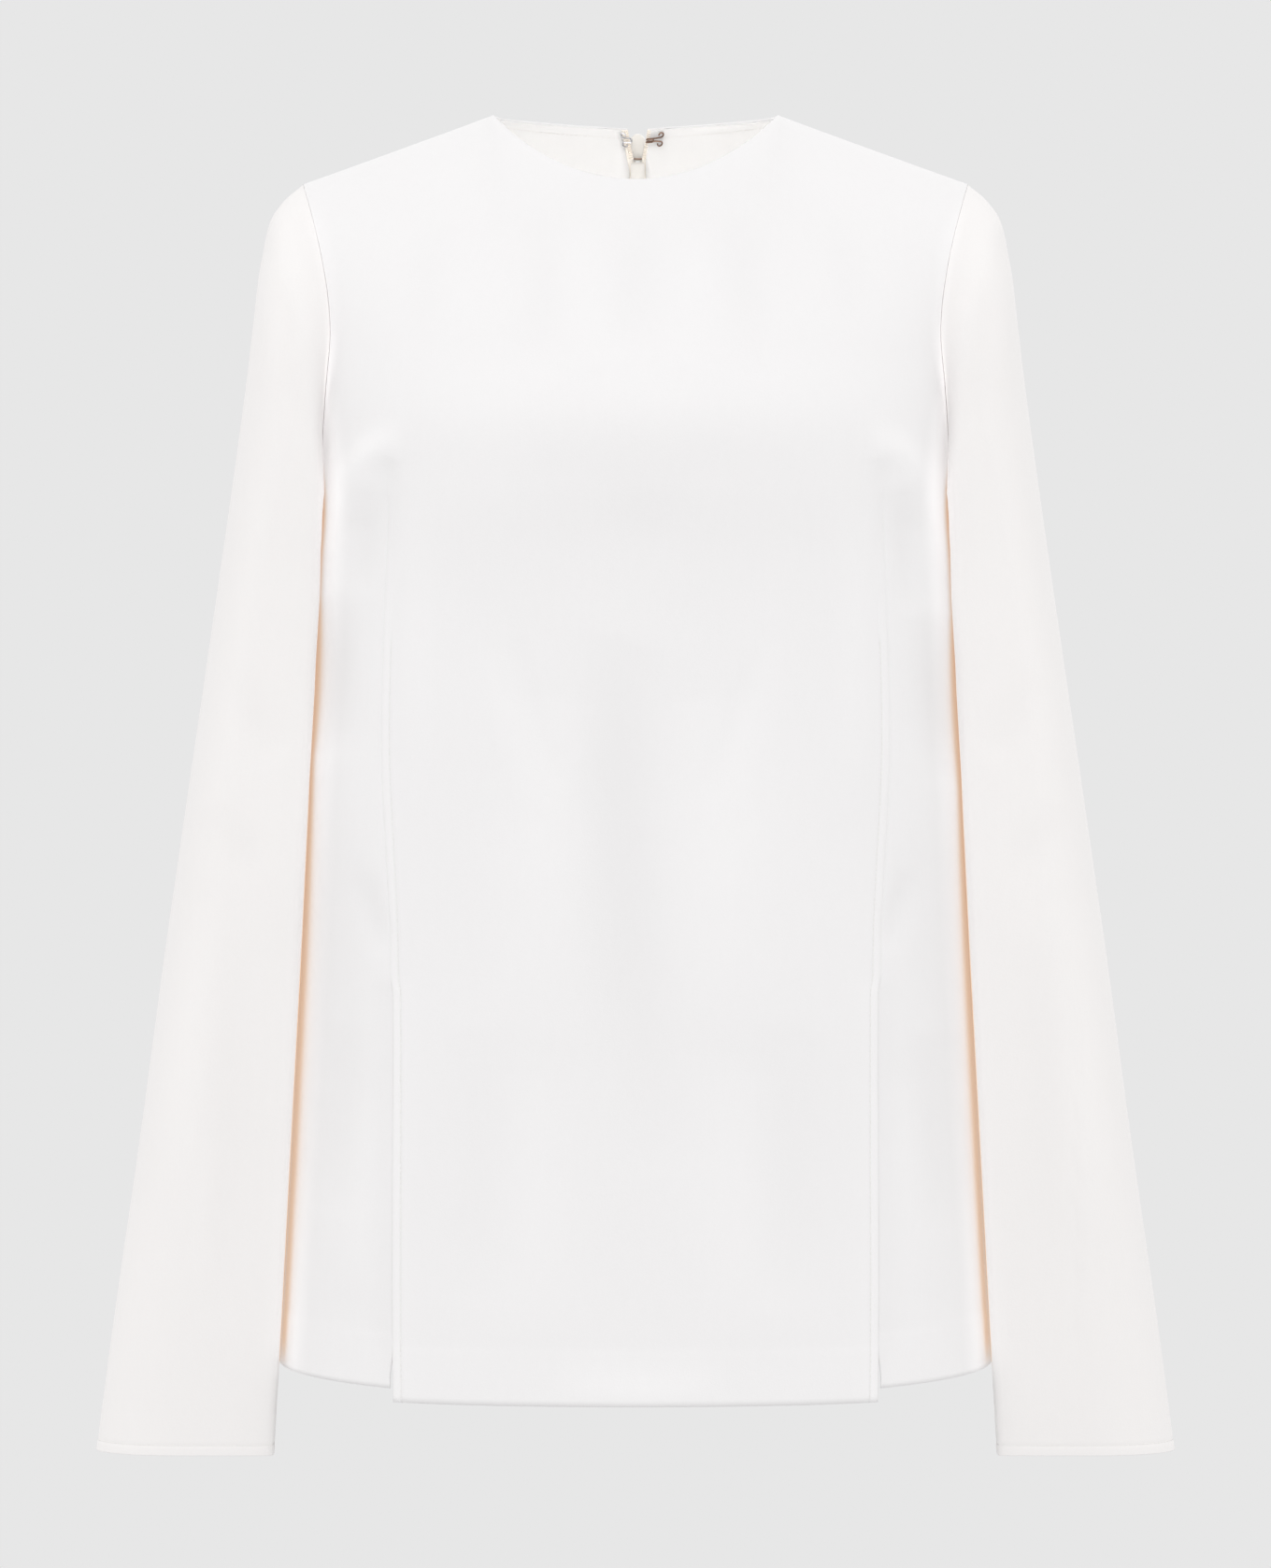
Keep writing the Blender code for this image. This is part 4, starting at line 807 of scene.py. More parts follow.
def front_panel(strength):
    """The whole front: its grids, with folds, seams and slits worked in, and how they join."""
    centre, side = front_shares()
    hem_side = HEM_SLIT_Z + (HEM_SIDE_Z - HEM_SLIT_Z) * (2 * side - 1)
    centre_grid = body_grid(centre, -1, np.full(centre.size, HEM_CENTRE_Z))
    half = np.concatenate([centre_grid, body_grid(side, -1, hem_side)], axis=1)
    dart = centre.size - 1
    normals = grid_normals(half)
    across = distances(half, 1)
    to_dart = across - across[:, [dart]]
    to_side = across[:, [-1]] - across
    to_top = distances(half, 0)
    to_hem = to_top[-1] - to_top
    z = half[..., 2]
    on_centre = np.arange(half.shape[1]) <= dart
    below_tip = ease(*DART_TOP, z)
    slit = ease(*SLIT_TOP, z)
    details = groove(to_dart, *DART_GROOVE) * below_tip * (1 - slit)
    strip = ease(*STRIP_START, -to_dart) * ease(*STRIP_END, -to_dart)
    details = details + STRIP_RISE * strip * ease(*STRIP_TOP, z) * on_centre
    stitched = ease(*STITCH_TOP, z) * on_centre
    details = details + groove(-to_dart - STITCH_INSET, *STITCH_GROOVE) * stitched
    seam = edge_roll(to_side, side_roll(z)) + edge_roll(to_top, SOFT_ROLL)
    details = details + seam + edge_roll(to_hem, SOFT_ROLL) + hem_line(to_hem, HEM_TURN["front"])
    raised = ease(*RAISED_BESIDE, -to_dart) * slit * on_centre
    sunk = ease(*SUNK_BESIDE, to_dart) * slit * ~on_centre
    details = details + SLIT_STEP[0] * raised - SLIT_STEP[1] * sunk
    details = details + groove(to_dart, *SLIT_GROOVE) * slit * on_centre
    towards = unit(half[:, [dart - 1]] - half[:, [dart]])
    under = SLIT_UNDERLAP * ease(*UNDERLAP_TOP, z)
    shift = under * ease(*UNDERLAP_BESIDE, to_dart) * ~on_centre
    shift = shift + SLIT_INSET * slit * ease(*INSET_BESIDE, -to_dart) * on_centre
    moved = half + shift[..., None] * towards
    thin = ease(*THIN_BESIDE, np.abs(to_dart)) * slit
    calm = 1 - CALM * ease(*CALM_SIDE, to_side)
    halves = {"grid": [], "normals": [], "wall": [], "relief": []}
    for hand in (-1, 1):
        mirror = mirror_to(hand)
        folds = strength * calm * fold_heights(half * mirror, FRONT_FOLDS)
        halves["grid"].append((moved + normals * (details + folds)[..., None]) * mirror)
        halves["normals"].append(normals * mirror)
        halves["wall"].append(WALL - SLIT_THINNING * thin)
        # Painted shade in hollows and painted highlight on ridges, following the folds and details
        halves["relief"].append(folds + DETAIL_SHADE * details)
    made = {
        key: np.concatenate([right[:, :0:-1], left], axis=1)
        for key, (right, left) in halves.items()
    }
    grid = made["grid"]
    columns = grid.shape[1]
    middle = half.shape[1] - 1
    index = np.arange(grid.shape[0] * columns).reshape(grid.shape[:2])
    joined = half[:, dart, 2] > SLIT_TOP_Z
    for centre_column, side_column in (
        (middle + dart, middle + dart + 1),
        (middle - dart, middle - dart - 1),
    ):
        index[:, side_column] = np.where(joined, index[:, centre_column], index[:, side_column])
    made["weld"] = index
    made["gaps"] = (middle + dart, middle - dart - 1)
    stitch_column = int(np.argmin(np.abs(to_dart[-1, : dart + 1] + STITCH_INSET)))
    made["stitch_columns"] = (middle + stitch_column, middle - stitch_column)
    return made


def back_panel(hand, strength):
    """Half of the back, at +X (hand 1) or -X (hand -1), with folds and seams worked in."""
    ends = 1 - (VISIBLE_GAP + np.array(EDGE_COLUMNS[::-1])) / BACK_PANEL_WIDTH
    near = np.array(EDGE_COLUMNS) / BACK_PANEL_WIDTH
    neck = shares_between(near[-1], NECK_CORNER[1], SHARE_STEP["back"])[1:]
    beyond = shares_between(NECK_CORNER[1], ends[0], SHARE_STEP["back"])
    share = np.concatenate([near, neck, beyond, ends])
    half = body_grid(share, 1, HEM_SIDE_Z + (HEM_BACK_Z - HEM_SIDE_Z) * (1 - share**2))
    normals = -grid_normals(half)
    across = distances(half, 1)
    to_top = distances(half, 0)
    to_hem = to_top[-1] - to_top
    to_side = across[:, [-1]] - across
    edge_x = zip_half_gap(half[..., 2]) + hand * ZIP_X
    half[..., 0] += edge_x * np.clip(1 - half[..., 0] / CENTRE_EASE, 0.0, 1.0)
    seam = edge_roll(to_side, side_roll(half[..., 2])) + edge_roll(across, 0.9)
    seam = seam + edge_roll(to_top, SOFT_ROLL)
    mirror = mirror_to(hand)
    details = seam + edge_roll(to_hem, SOFT_ROLL) + hem_line(to_hem, HEM_TURN["back"])
    pucker = ease(*PUCKER_END, half[..., 2]) * ease(*PUCKER_BESIDE, across)
    details = details + PUCKER[0] * pucker * np.sin(half[..., 2] / PUCKER[1])
    folds = strength * fold_heights(half * mirror, BACK_FOLDS)
    made = {"grid": (half + normals * (details + folds)[..., None]) * mirror}
    made["normals"] = normals * mirror
    # Painted shade in hollows and painted highlight on ridges, following the folds and details
    made["relief"] = folds + DETAIL_SHADE * details
    return made


def plumb(outer, normals):
    """Normals of a panel's points, but straight up along its shoulder seam."""
    straight = normals.copy()
    fade = np.linspace(0.0, 1.0, SHOULDER_ROWS)[:, None]
    on_shoulder = ease(*SHOULDER_START, np.abs(outer[0, :, 0]))
    straight[:SHOULDER_ROWS, :, 1] *= 1 - (1 - fade) * on_shoulder
    return unit(straight)


def inner_side(outer, normals, depth):
    """Points under a panel's outer ones; along the shoulder seam the wall goes straight down."""
    return outer - plumb(outer, normals) * depth[..., None]


# ---------------------------------------------------------------- sleeves


def armhole_chain():
    """The armhole's edge at +X: from the shoulder down the front and up the back."""
    t = np.linspace(0.0, 1.0, 121)[:, None]
    one = np.ones(1)
    edges = []
    for side in (-1, 1):
        high = hermite(*upper_form(one, side), t)
        low_z = CHEST_Z - np.sin(t[1:, 0] * math.pi / 2) * (CHEST_Z - UNDERARM_Z)
        edges.append(np.concatenate([high, sections(low_z, 1.0, side)]))
    return np.concatenate([edges[0], edges[1][::-1][1:]])


def sleeve_form(fields, turn):
    """Points of sleeve sections: turn 0 outermost, a quarter in front, half innermost."""
    out_x, out_z, in_x, in_z, mid_x, front_y, back_y = fields
    c, s = np.cos(turn), np.sin(turn)
    power = 2 + SLEEVE_CORNER * ease(math.pi * 0.5, math.pi * 0.6, turn) * (turn < math.pi)
    radius = (np.abs(c) ** power + np.abs(s) ** power) ** (-1 / power)
    c, s = radius * c, radius * s
    middle = (out_x + in_x) / 2
    x = (middle + mid_x) / 2 + (out_x - in_x) / 2 * c + (middle - mid_x) / 2 * np.cos(2 * turn)
    y = (front_y + back_y) / 2 - (back_y - front_y) / 2 * s
    return np.stack([x, y + 0 * c, (out_z + in_z) / 2 + (out_z - in_z) / 2 * c], axis=-1)


def sleeve_grid():
    """The smooth form of the sleeve at +X: rows from the armhole to the cuff."""
    chain = armhole_chain()
    lengths = distances(chain[None], 1)[0]
    turn = np.arange(SLEEVE_COLUMNS) * 2 * math.pi / SLEEVE_COLUMNS
    at = turn / (2 * math.pi) * lengths[-1]
    edge = np.stack([np.interp(at, lengths, chain[:, k]) for k in range(3)], axis=1)
    stations = np.arange(len(SLEEVE), dtype=float)

    def place(station):
        fields = [
            through(stations, [getattr(row, name) for row in SLEEVE], station)[:, None]
            for name in Section._fields
        ]
        first = sleeve_form([np.array([[value]]) for value in SLEEVE[0]], turn)
        fade = (np.maximum(1 - station / CAP_SECTIONS, 0.0) ** 2)[:, None, None]
        return sleeve_form(fields, turn) + fade * (edge - first)

    probe = np.linspace(0.0, stations[-1], 400)
    along = distances(place(probe), 0).mean(axis=1)
    wanted = np.concatenate(
        [
            2 * VISIBLE_GAP + np.array(EDGE_COLUMNS),
            np.linspace(0.005, along[-1] - 0.0095, round(along[-1] / STEP)),
            along[-1] - np.array(CUFF_ROWS),
        ]
    )
    grid = place(np.interp(wanted, along, probe))
    clear = UNDERARM_CLEARANCE * ease(0.030, 0.0, wanted)
    grid[..., 0] += clear[:, None] * (1 - np.cos(turn)) / 2
    grid[..., 0] += draw_in(grid, turn)
    return grid, turn, wanted


def draw_in(grid, turn):
    """How far the sleeve's inner front corner moves in x to lie over the body's side."""
    y, z = grid[..., 1], grid[..., 2]
    power = torso("squareness", z)
    depth = np.clip((SIDE_SEAM_Y - y) / torso("front", z), 0.0, 1.0)
    body = torso("half_width", z) * (1 - depth**power) ** (1 / power)
    innermost = np.interp(-z, [-row.in_z for row in SLEEVE], [row.in_x for row in SLEEVE])
    reach = np.maximum(body + SLEEVE_CLEARANCE, innermost - SLEEVE_REACH)
    quarter = turn / (math.pi / 2)
    before, after = SLEEVE_CORNER_TURN
    corner = ease(*before, quarter) * ease(*after, quarter) * ease(*SLEEVE_CORNER_TOP, z)
    return corner * np.minimum(reach - grid[..., 0], 0.0)


def sleeve_panel(hand, strength):
    """A whole sleeve: its grids, with folds and hem worked in, and the row of hem stitches."""
    grid, turn, along = sleeve_grid()
    normals = grid_normals(grid, wrapped=True)
    centre = grid.mean(axis=1, keepdims=True)
    normals *= np.sign(((grid - centre) * normals).sum(-1).mean())
    to_seam = np.abs(turn - math.pi) / (2 * math.pi) * SLEEVE_SEAM_GIRTH
    to_top = along[:, None]
    to_hem = (along[-1] - along)[:, None]
    details = edge_roll(to_seam[None], 0.9) * ease(*SLEEVE_SEAM_TOP, to_top)
    details = details + edge_roll(to_top, SOFT_ROLL) + edge_roll(to_hem, SOFT_ROLL)
    turned = HEM_TURN["sleeve"]
    details = details + groove(to_hem - turned, *CUFF_GROOVE)
    details = details + CUFF_RISE * ease(turned, turned - 0.001, to_hem)
    own = LEFT_SLEEVE_FOLDS if hand > 0 else RIGHT_SLEEVE_FOLDS
    front = ease(-0.15, 0.25, np.sin(turn))
    folds = front * fold_heights(grid, SLEEVE_FRONT_FOLDS)
    folds = folds + (1 - front) * fold_heights(grid, SLEEVE_BACK_FOLDS)
    folds = strength * (folds + front * fold_heights(grid, own, hand))
    inward = ease(math.radians(50), math.radians(25), np.abs(turn - math.pi))
    folds = np.where(folds > 0, folds * (1 - 0.8 * inward), folds)
    mirror = mirror_to(hand)
    made = {"grid": (grid + normals * (details + folds)[..., None]) * mirror}
    made["normals"] = normals * mirror
    # Painted shade in hollows and painted highlight on ridges, following the folds and details
    made["relief"] = folds + DETAIL_SHADE * details
    made["wall"] = np.where(to_hem < turned + 0.0004, HEM_WALL, WALL) + 0 * turn
    made["stitch_row"] = int(np.argmin(np.abs(to_hem[:, 0] - turned)))
    made["turn"] = turn
    made["to_top"] = to_top
    return made


def cap_wall(made):
    """Directions through a sleeve's wall: straight down at the cap, beside the body's own."""
    straight = made["normals"].copy()
    at_cap = ease(*CAP_TOP, made["to_top"]) * ease(*CAP_HEIGHT, made["grid"][..., 2])
    straight[..., 0] *= 1 - at_cap
    return unit(straight)


def sleeve_tones(made):
    """Painted light on a sleeve's cloth: glow and warm bounce tint beside the body, shade and
    highlight by relief.
    """
    quarter = made["turn"] / (math.pi / 2)
    z = made["grid"][..., 2]
    front = ease(*BESIDE_SLEEVE, z) * ease(*ABOVE_CUFF, z) * ease(*SLEEVE_FRONT, quarter)
    # Painted warm bounce light on the sleeve's inner front, beside the body
    warmth = ease(*SLEEVE_GLOW[0], quarter) * ease(*SLEEVE_GLOW[1], quarter) * front
    # Painted glow that fills the shade of the sleeve's inner front and armhole seam
    seam = seam_fill(made["to_top"], SLEEVE_SEAM_REACH)
    in_armhole = seam * armhole_fill(z) * ease(*SLEEVE_SEAM_FRONT, quarter)
    hemmed = np.maximum(ease(*SLEEVE_FILL, quarter) * front, in_armhole) * underarm_fill(z)
    return {"warmth": warmth, "hemmed": hemmed, "relief": 1000 * made["relief"]}


# ---------------------------------------------------------------- node trees


def stitch_path(name, points, outward):
    """A chain of edges that carries the direction in which the cloth faces."""
    mesh = bpy.data.meshes.new(name)
    edges = [(k, k + 1) for k in range(len(points) - 1)]
    mesh.from_pydata([tuple(p) for p in points], edges, [])
    layer = mesh.attributes.new("outward", "FLOAT_VECTOR", "POINT")
    layer.data.foreach_set("vector", np.asarray(outward, np.float32).ravel())
    return add_object(name, mesh)


class Tree:
    """A node tree that is built node by node."""

    def __init__(self, tree):
        self.nodes = tree.nodes
        self.links = tree.links

    def add(self, kind, inputs=None, **settings):
        """Make a node: its settings first, then the values or links of its sockets."""
        node = self.nodes.new(kind)
        for name, value in settings.items():
            if name == "stops":
                for element, (place, level) in zip(node.color_ramp.elements, value):
                    element.position, element.color = place, (level, level, level, 1.0)
            else:
                setattr(node, name, value)
        self.feed(node, inputs or {})
        return node

    def feed(self, node, inputs):
        """Give sockets a value each, or a link to a result or to a node's first output."""
        for key, value in inputs.items():
            if isinstance(value, Value):
                value = value.socket
            elif isinstance(value, bpy.types.Node):
                value = value.outputs[0]
            if isinstance(value, bpy.types.NodeSocket):
                self.links.new(value, node.inputs[key])
            else:
                node.inputs[key].default_value = value

    def value(self, node, output=0):
        """One of a node's outputs, ready for sums."""
        return Value(self, node.outputs[output])


class Value:
    """A number that varies over a surface; + - * on it add Math nodes."""

    def __init__(self, tree, socket):
        self.tree = tree
        self.socket = socket

    def math(self, operation, first, second):
        """The result of one Math node."""
        tree = self.tree
        return tree.value(tree.add("ShaderNodeMath", {0: first, 1: second}, operation=operation))

    def __add__(self, other):
        return self.math("ADD", self, other)

    def __sub__(self, other):
        return self.math("SUBTRACT", self, other)

    def __rsub__(self, other):
        return self.math("SUBTRACT", other, self)

    def __mul__(self, other):
        return self.math("MULTIPLY", self, other)

    __radd__ = __add__
    __rmul__ = __mul__


def along_path_tree(name, element):
    """Geometry nodes that repeat a small element along a path, turned to lie on the cloth.

    element(add, given) adds the element's own nodes and returns the last one.
    """
    group = bpy.data.node_groups.new(name, "GeometryNodeTree")
    face = group.interface
    face.new_socket("Path", in_out="INPUT", socket_type="NodeSocketGeometry")
    for label in ("Pitch", "Length", "Width", "Thickness"):
        socket = face.new_socket(label, in_out="INPUT", socket_type="NodeSocketFloat")
        socket.subtype = "DISTANCE"
    face.new_socket("Finish", in_out="INPUT", socket_type="NodeSocketMaterial")
    face.new_socket("Stitches", in_out="OUTPUT", socket_type="NodeSocketGeometry")
    add = Tree(group).add
    given = add("NodeGroupInput").outputs
    curve = add("GeometryNodeMeshToCurve", {"Mesh": given["Path"]})
    spaced = {"Curve": curve, "Length": given["Pitch"]}
    points = add("GeometryNodeCurveToPoints", spaced, mode="LENGTH").outputs
    outward = add("GeometryNodeInputNamedAttribute", {"Name": "outward"}, data_type="FLOAT_VECTOR")
    align = "FunctionNodeAlignRotationToVector"
    along = add(align, {"Vector": points["Tangent"]}, axis="X")
    upright = add(align, {"Rotation": along, "Vector": outward}, axis="Z", pivot_axis="X")
    placed = {"Points": points["Points"], "Instance": element(add, given), "Rotation": upright}
    real = add("GeometryNodeRealizeInstances", {0: add("GeometryNodeInstanceOnPoints", placed)})
    smooth = add("GeometryNodeSetShadeSmooth", {0: real})
    painted = add("GeometryNodeSetMaterial", {"Geometry": smooth, "Material": given["Finish"]})
    add("NodeGroupOutput", {0: painted})
    return group


def thread_element(add, given):
    """One stitch: a small flattened capsule of thread."""
    ball = add("GeometryNodeMeshUVSphere", {"Segments": 6, "Rings": 5, "Radius": 0.5})
    sides = {"X": given["Length"], "Y": given["Width"], "Z": given["Thickness"]}
    size = add("ShaderNodeCombineXYZ", sides)
    return add("GeometryNodeTransform", {"Geometry": ball, "Scale": size})


def coil_element(add, given):
    """One turn of the zip's coil: a small upright loop across the path."""
    ring = add("GeometryNodeCurvePrimitiveCircle", {"Resolution": 8}, mode="RADIUS")
    size = add("ShaderNodeCombineXYZ", {"X": 1.0, "Y": given["Width"], "Z": given["Length"]})
    turned = {"Geometry": ring, "Rotation": (0.0, math.pi / 2, 0.0)}
    upright = add("GeometryNodeTransform", turned)
    oval = add("GeometryNodeTransform", {"Geometry": upright, "Scale": size})
    round_wire = {"Resolution": 5, "Radius": given["Thickness"]}
    wire = add("GeometryNodeCurvePrimitiveCircle", round_wire, mode="RADIUS")
    return add("GeometryNodeCurveToMesh", {"Curve": oval, "Profile Curve": wire})


def repeat_along(name, paths, tree, sizes, material):
    """Run a tree along every path and keep the result as one plain mesh object."""
    parts = []
    given = dict(sizes, Finish=material)
    for path in paths:
        modifier = path.modifiers.new("repeat", "NODES")
        modifier.node_group = tree
        for item in tree.interface.items_tree:
            if item.item_type == "SOCKET" and item.in_out == "INPUT" and item.name in given:
                modifier[item.identifier] = given[item.name]
        bpy.context.view_layer.update()
        evaluated = path.evaluated_get(bpy.context.evaluated_depsgraph_get())
        parts.append(bpy.data.meshes.new_from_object(evaluated))
        path.modifiers.clear()
        bpy.data.objects.remove(path, do_unlink=True)
    joined = bmesh.new()
    for part in parts:
        joined.from_mesh(part)
    mesh = parts[0]
    joined.to_mesh(mesh)
    joined.free()
    mesh.name = name
    mesh.polygons.foreach_set("material_index", [0] * len(mesh.polygons))
    mesh.materials.clear()
    mesh.materials.append(material)
    return add_object(name, mesh)


# ---------------------------------------------------------------- materials


def new_material(name, base, roughness, metallic=0.0):
    """A Principled material and the tree that its pattern is built in."""
    made = bpy.data.materials.get(name) or bpy.data.materials.new(name)
    made.use_nodes = True
    made.node_tree.nodes.clear()
    tree = Tree(made.node_tree)
    plain = {"Base Color": (*base, 1.0), "Roughness": roughness, "Metallic": metallic}
    shader = tree.add("ShaderNodeBsdfPrincipled", plain)
    tree.add("ShaderNodeOutputMaterial", {"Surface": shader})
    return made, tree, shader


def object_noise(tree, scale, detail=2.0, stretch=None):
    """Noise over the piece, in its own metres."""
    place = tree.add("ShaderNodeTexCoord").outputs["Object"]
    if stretch is not None:
        place = tree.add("ShaderNodeMapping", {"Vector": place, "Scale": stretch})
    inputs = {"Vector": place, "Scale": scale, "Detail": detail}
    return tree.value(tree.add("ShaderNodeTexNoise", inputs))


def attribute(tree, name):
    """A value that the piece's own points carry."""
    return tree.value(tree.add("ShaderNodeAttribute", attribute_name=name), "Fac")


def mixed_colour(tree, amount, first, second):
    """A colour between two, by an amount."""
    inputs = {0: amount, 6: first, 7: second}
    return tree.add("ShaderNodeMix", inputs, data_type="RGBA").outputs[2]


def mottled(tree, amount, colour, dark, light):
    """A colour that varies between a darker and a lighter one."""
    return mixed_colour(tree, amount, shaded(colour, dark), shaded(colour, light))


def bumped(tree, height, strength, distance):
    """A surface raised by its grain."""
    inputs = {"Strength": strength, "Distance": distance, "Height": height}
    return tree.add("ShaderNodeBump", inputs)


def shaded(colour, factor):
    """A colour made darker or lighter, with its alpha."""
    return (*(min(part * factor, 1.0) for part in colour), 1.0)


def painted_glow(colour):
    """Painted glow that lightens a thin pale piece where it lies in shade."""
    return {"Emission Color": shaded(colour, PAINTED_GLOW_SHARE), "Emission Strength": 1.0}


def wool_material(name, colour, tint, grain=1.0):
    """Fine matt wool crepe: uneven yarn and a short fuzz, with painted shade and highlight by
    relief and a painted warm glow and bounce tint between body and sleeve.
    """
    made, tree, shader = new_material(name, colour, 0.92)
    fuzz = {"Specular IOR Level": 0.25, "Sheen Weight": 0.18, "Sheen Roughness": 0.5}
    tree.feed(shader, fuzz)
    cloud = object_noise(tree, 11.0, 3.0)
    yarn = object_noise(tree, 900.0, 3.0)
    slub = object_noise(tree, 240.0, 2.0, (1.0, 1.0, 0.3))
    plain = mottled(tree, cloud * 0.45 + yarn * 0.35 + slub * 0.20, colour, 0.965, 1.03)
    # Painted shade in hollows and painted highlight on ridges, seams and stitched strips
    level = 1.0 + attribute(tree, "relief") * RELIEF_SHADE
    relief_shaded = tree.add("ShaderNodeVectorMath", {0: plain, "Scale": level}, operation="SCALE")
    # Painted warm bounce light: base colour and glow lean towards the tint
    warm = attribute(tree, "warmth")
    paint = mixed_colour(tree, warm, relief_shaded.outputs[0], shaded(tint, 1.0))
    # Painted glow, strongest where the cloth lies in shade between body and sleeve
    hemmed = attribute(tree, "hemmed")
    painted_fill_glow = mixed_colour(tree, hemmed, (0, 0, 0, 1), shaded(colour, PAINTED_GLOW_SHARE))
    light = mixed_colour(tree, warm, painted_fill_glow, shaded(tint, PAINTED_GLOW_SHARE))
    tree.feed(shader, {"Base Color": paint, "Emission Color": light, "Emission Strength": 1.0})
    tree.feed(shader, {"Roughness": yarn * 0.12 + 0.84})
    height = object_noise(tree, 1500.0, 2.0) * 0.6 + yarn * 0.4
    tree.feed(shader, {"Normal": bumped(tree, height, 0.20 * grain, 0.0003)})
    return made


def twill_material(name, colour, roughness):
    """Narrow woven tape with fine diagonal ribs and a painted glow that lightens its shade."""
    made, tree, shader = new_material(name, colour, roughness)
    tree.feed(shader, painted_glow(colour))
    place = tree.add("ShaderNodeTexCoord").outputs["Object"]
    slant = (0.0, math.radians(35), 0.0)
    turned = tree.add("ShaderNodeMapping", {"Vector": place, "Rotation": slant})
    inputs = {"Vector": turned, "Scale": 330.0, "Distortion": 1.2, "Detail": 1.0}
    ribs = tree.value(tree.add("ShaderNodeTexWave", inputs, bands_direction="X"))
    grain = object_noise(tree, 700.0, 2.0)
    tone = ribs * 0.5 + grain * 0.5
    tree.feed(shader, {"Base Color": mottled(tree, tone, colour, 0.94, 1.03)})
    tree.feed(shader, {"Normal": bumped(tree, tone, 0.3, 0.0002)})
    return made


def nylon_material(name, colour, roughness, light=None):
    """Moulded nylon coil or twisted thread: slightly mottled with a soft gloss; light, when given,
    adds a painted glow that lightens its shade.
    """
    made, tree, shader = new_material(name, colour, roughness)
    # Painted glow, when given
    tree.feed(shader, light or {})
    fleck = object_noise(tree, 800.0, 2.0)
    tree.feed(shader, {"Base Color": mottled(tree, fleck, colour, 0.93, 1.04)})
    tree.feed(shader, {"Roughness": fleck * 0.2 + (roughness - 0.1)})
    tree.feed(shader, {"Normal": bumped(tree, fleck, 0.15, 0.0001)})
    return made


def enamel_material(name, colour):
    """Painted metal: glossy lacquer over a faint orange-peel texture, with duller patches."""
    made, tree, shader = new_material(name, colour, 0.35)
    tree.feed(shader, {"Coat Weight": 0.4, "Coat Roughness": 0.12})
    peel = object_noise(tree, 1100.0, 2.0)
    wear = object_noise(tree, 420.0, 4.0)
    worn = tree.add("ShaderNodeValToRGB", {0: wear}, stops=((0.66, 0.0), (0.74, 1.0)))
    tree.feed(shader, {"Base Color": mottled(tree, worn, colour, 1.0, 0.86)})
    tree.feed(shader, {"Roughness": peel * 0.12 + 0.28})
    tree.feed(shader, {"Normal": bumped(tree, peel, 0.12, 0.0001)})
    return made


def metal_material(name, colour, roughness):
    """Drawn wire: bright with fine dull streaks and darker tarnish."""
    made, tree, shader = new_material(name, colour, roughness, 1.0)
    streak = object_noise(tree, 900.0, 3.0)
    tarnish = object_noise(tree, 300.0, 2.0)
    tone = streak * 0.4 + tarnish * 0.6
    tree.feed(shader, {"Base Color": mottled(tree, tone, colour, 0.75, 1.15)})
    tree.feed(shader, {"Roughness": streak * 0.25 + (roughness - 0.1)})
    tree.feed(shader, {"Normal": bumped(tree, streak, 0.1, 0.0001)})
    return made


def floor_material(colour, glow):
    """Pale seamless studio floor that gives back mostly its own even light."""
    made, tree, shader = new_material("studio floor", (0.0, 0.0, 0.0), 1.0)
    paint = mottled(tree, object_noise(tree, 0.5, 2.0), colour, 0.998, 1.002)
    tree.feed(shader, {"Emission Color": paint, "Emission Strength": glow})
    tree.feed(shader, {"Specular IOR Level": 0.0})
    return made


# ---------------------------------------------------------------- settings

TINT = {"min": 0.0, "max": 1.0, "subtype": "COLOR"}


class BlouseCloth(bpy.types.PropertyGroup):
    """Colours and folds of the cloth."""

    wool: FloatVectorProperty(
        name="Wool", description="Colour of the blouse's cloth",
        default=(0.862, 0.852, 0.854), **TINT,
    )
    # Colour of the painted warm bounce light and glow between body and sleeve
    glow: FloatVectorProperty(
        name="Hemmed-in tint", description="Colour the cloth takes on between body and sleeve",
        default=(0.83, 0.57, 0.34), **TINT,
    )
    sleeves: FloatVectorProperty(
        name="Sleeves", description="Colour of the sleeves' cloth, a little warmer",
        default=(0.885, 0.866, 0.858), **TINT,
    )
    facing: FloatVectorProperty(
        name="Facing", description="Colour of the back-neck facing",
        default=(0.868, 0.862, 0.855), **TINT,
    )
    fold_strength: FloatProperty(
        name="Folds", description="Depth of the soft folds", default=1.5, min=0.0, max=2.0
    )


class BlouseThread(bpy.types.PropertyGroup):
    """Topstitching thread."""

    colour: FloatVectorProperty(
        name="Thread", description="Colour of the topstitching",
        default=(0.86, 0.85, 0.83), **TINT,
    )
    pitch: FloatProperty(
        name="Pitch",
        description="Distance from one stitch to the next",
        default=0.0026,
        min=0.0015,
        max=0.006,
        subtype="DISTANCE",
    )
    length: FloatProperty(
        name="Length",
        description="Length of thread that shows in one stitch",
        default=0.0021,
        min=0.001,
        max=0.005,
        subtype="DISTANCE",
    )
    width: FloatProperty(
        name="Width",
        description="Width of the thread",
        default=0.00034,
        min=0.0001,
        max=0.001,
        subtype="DISTANCE",
    )


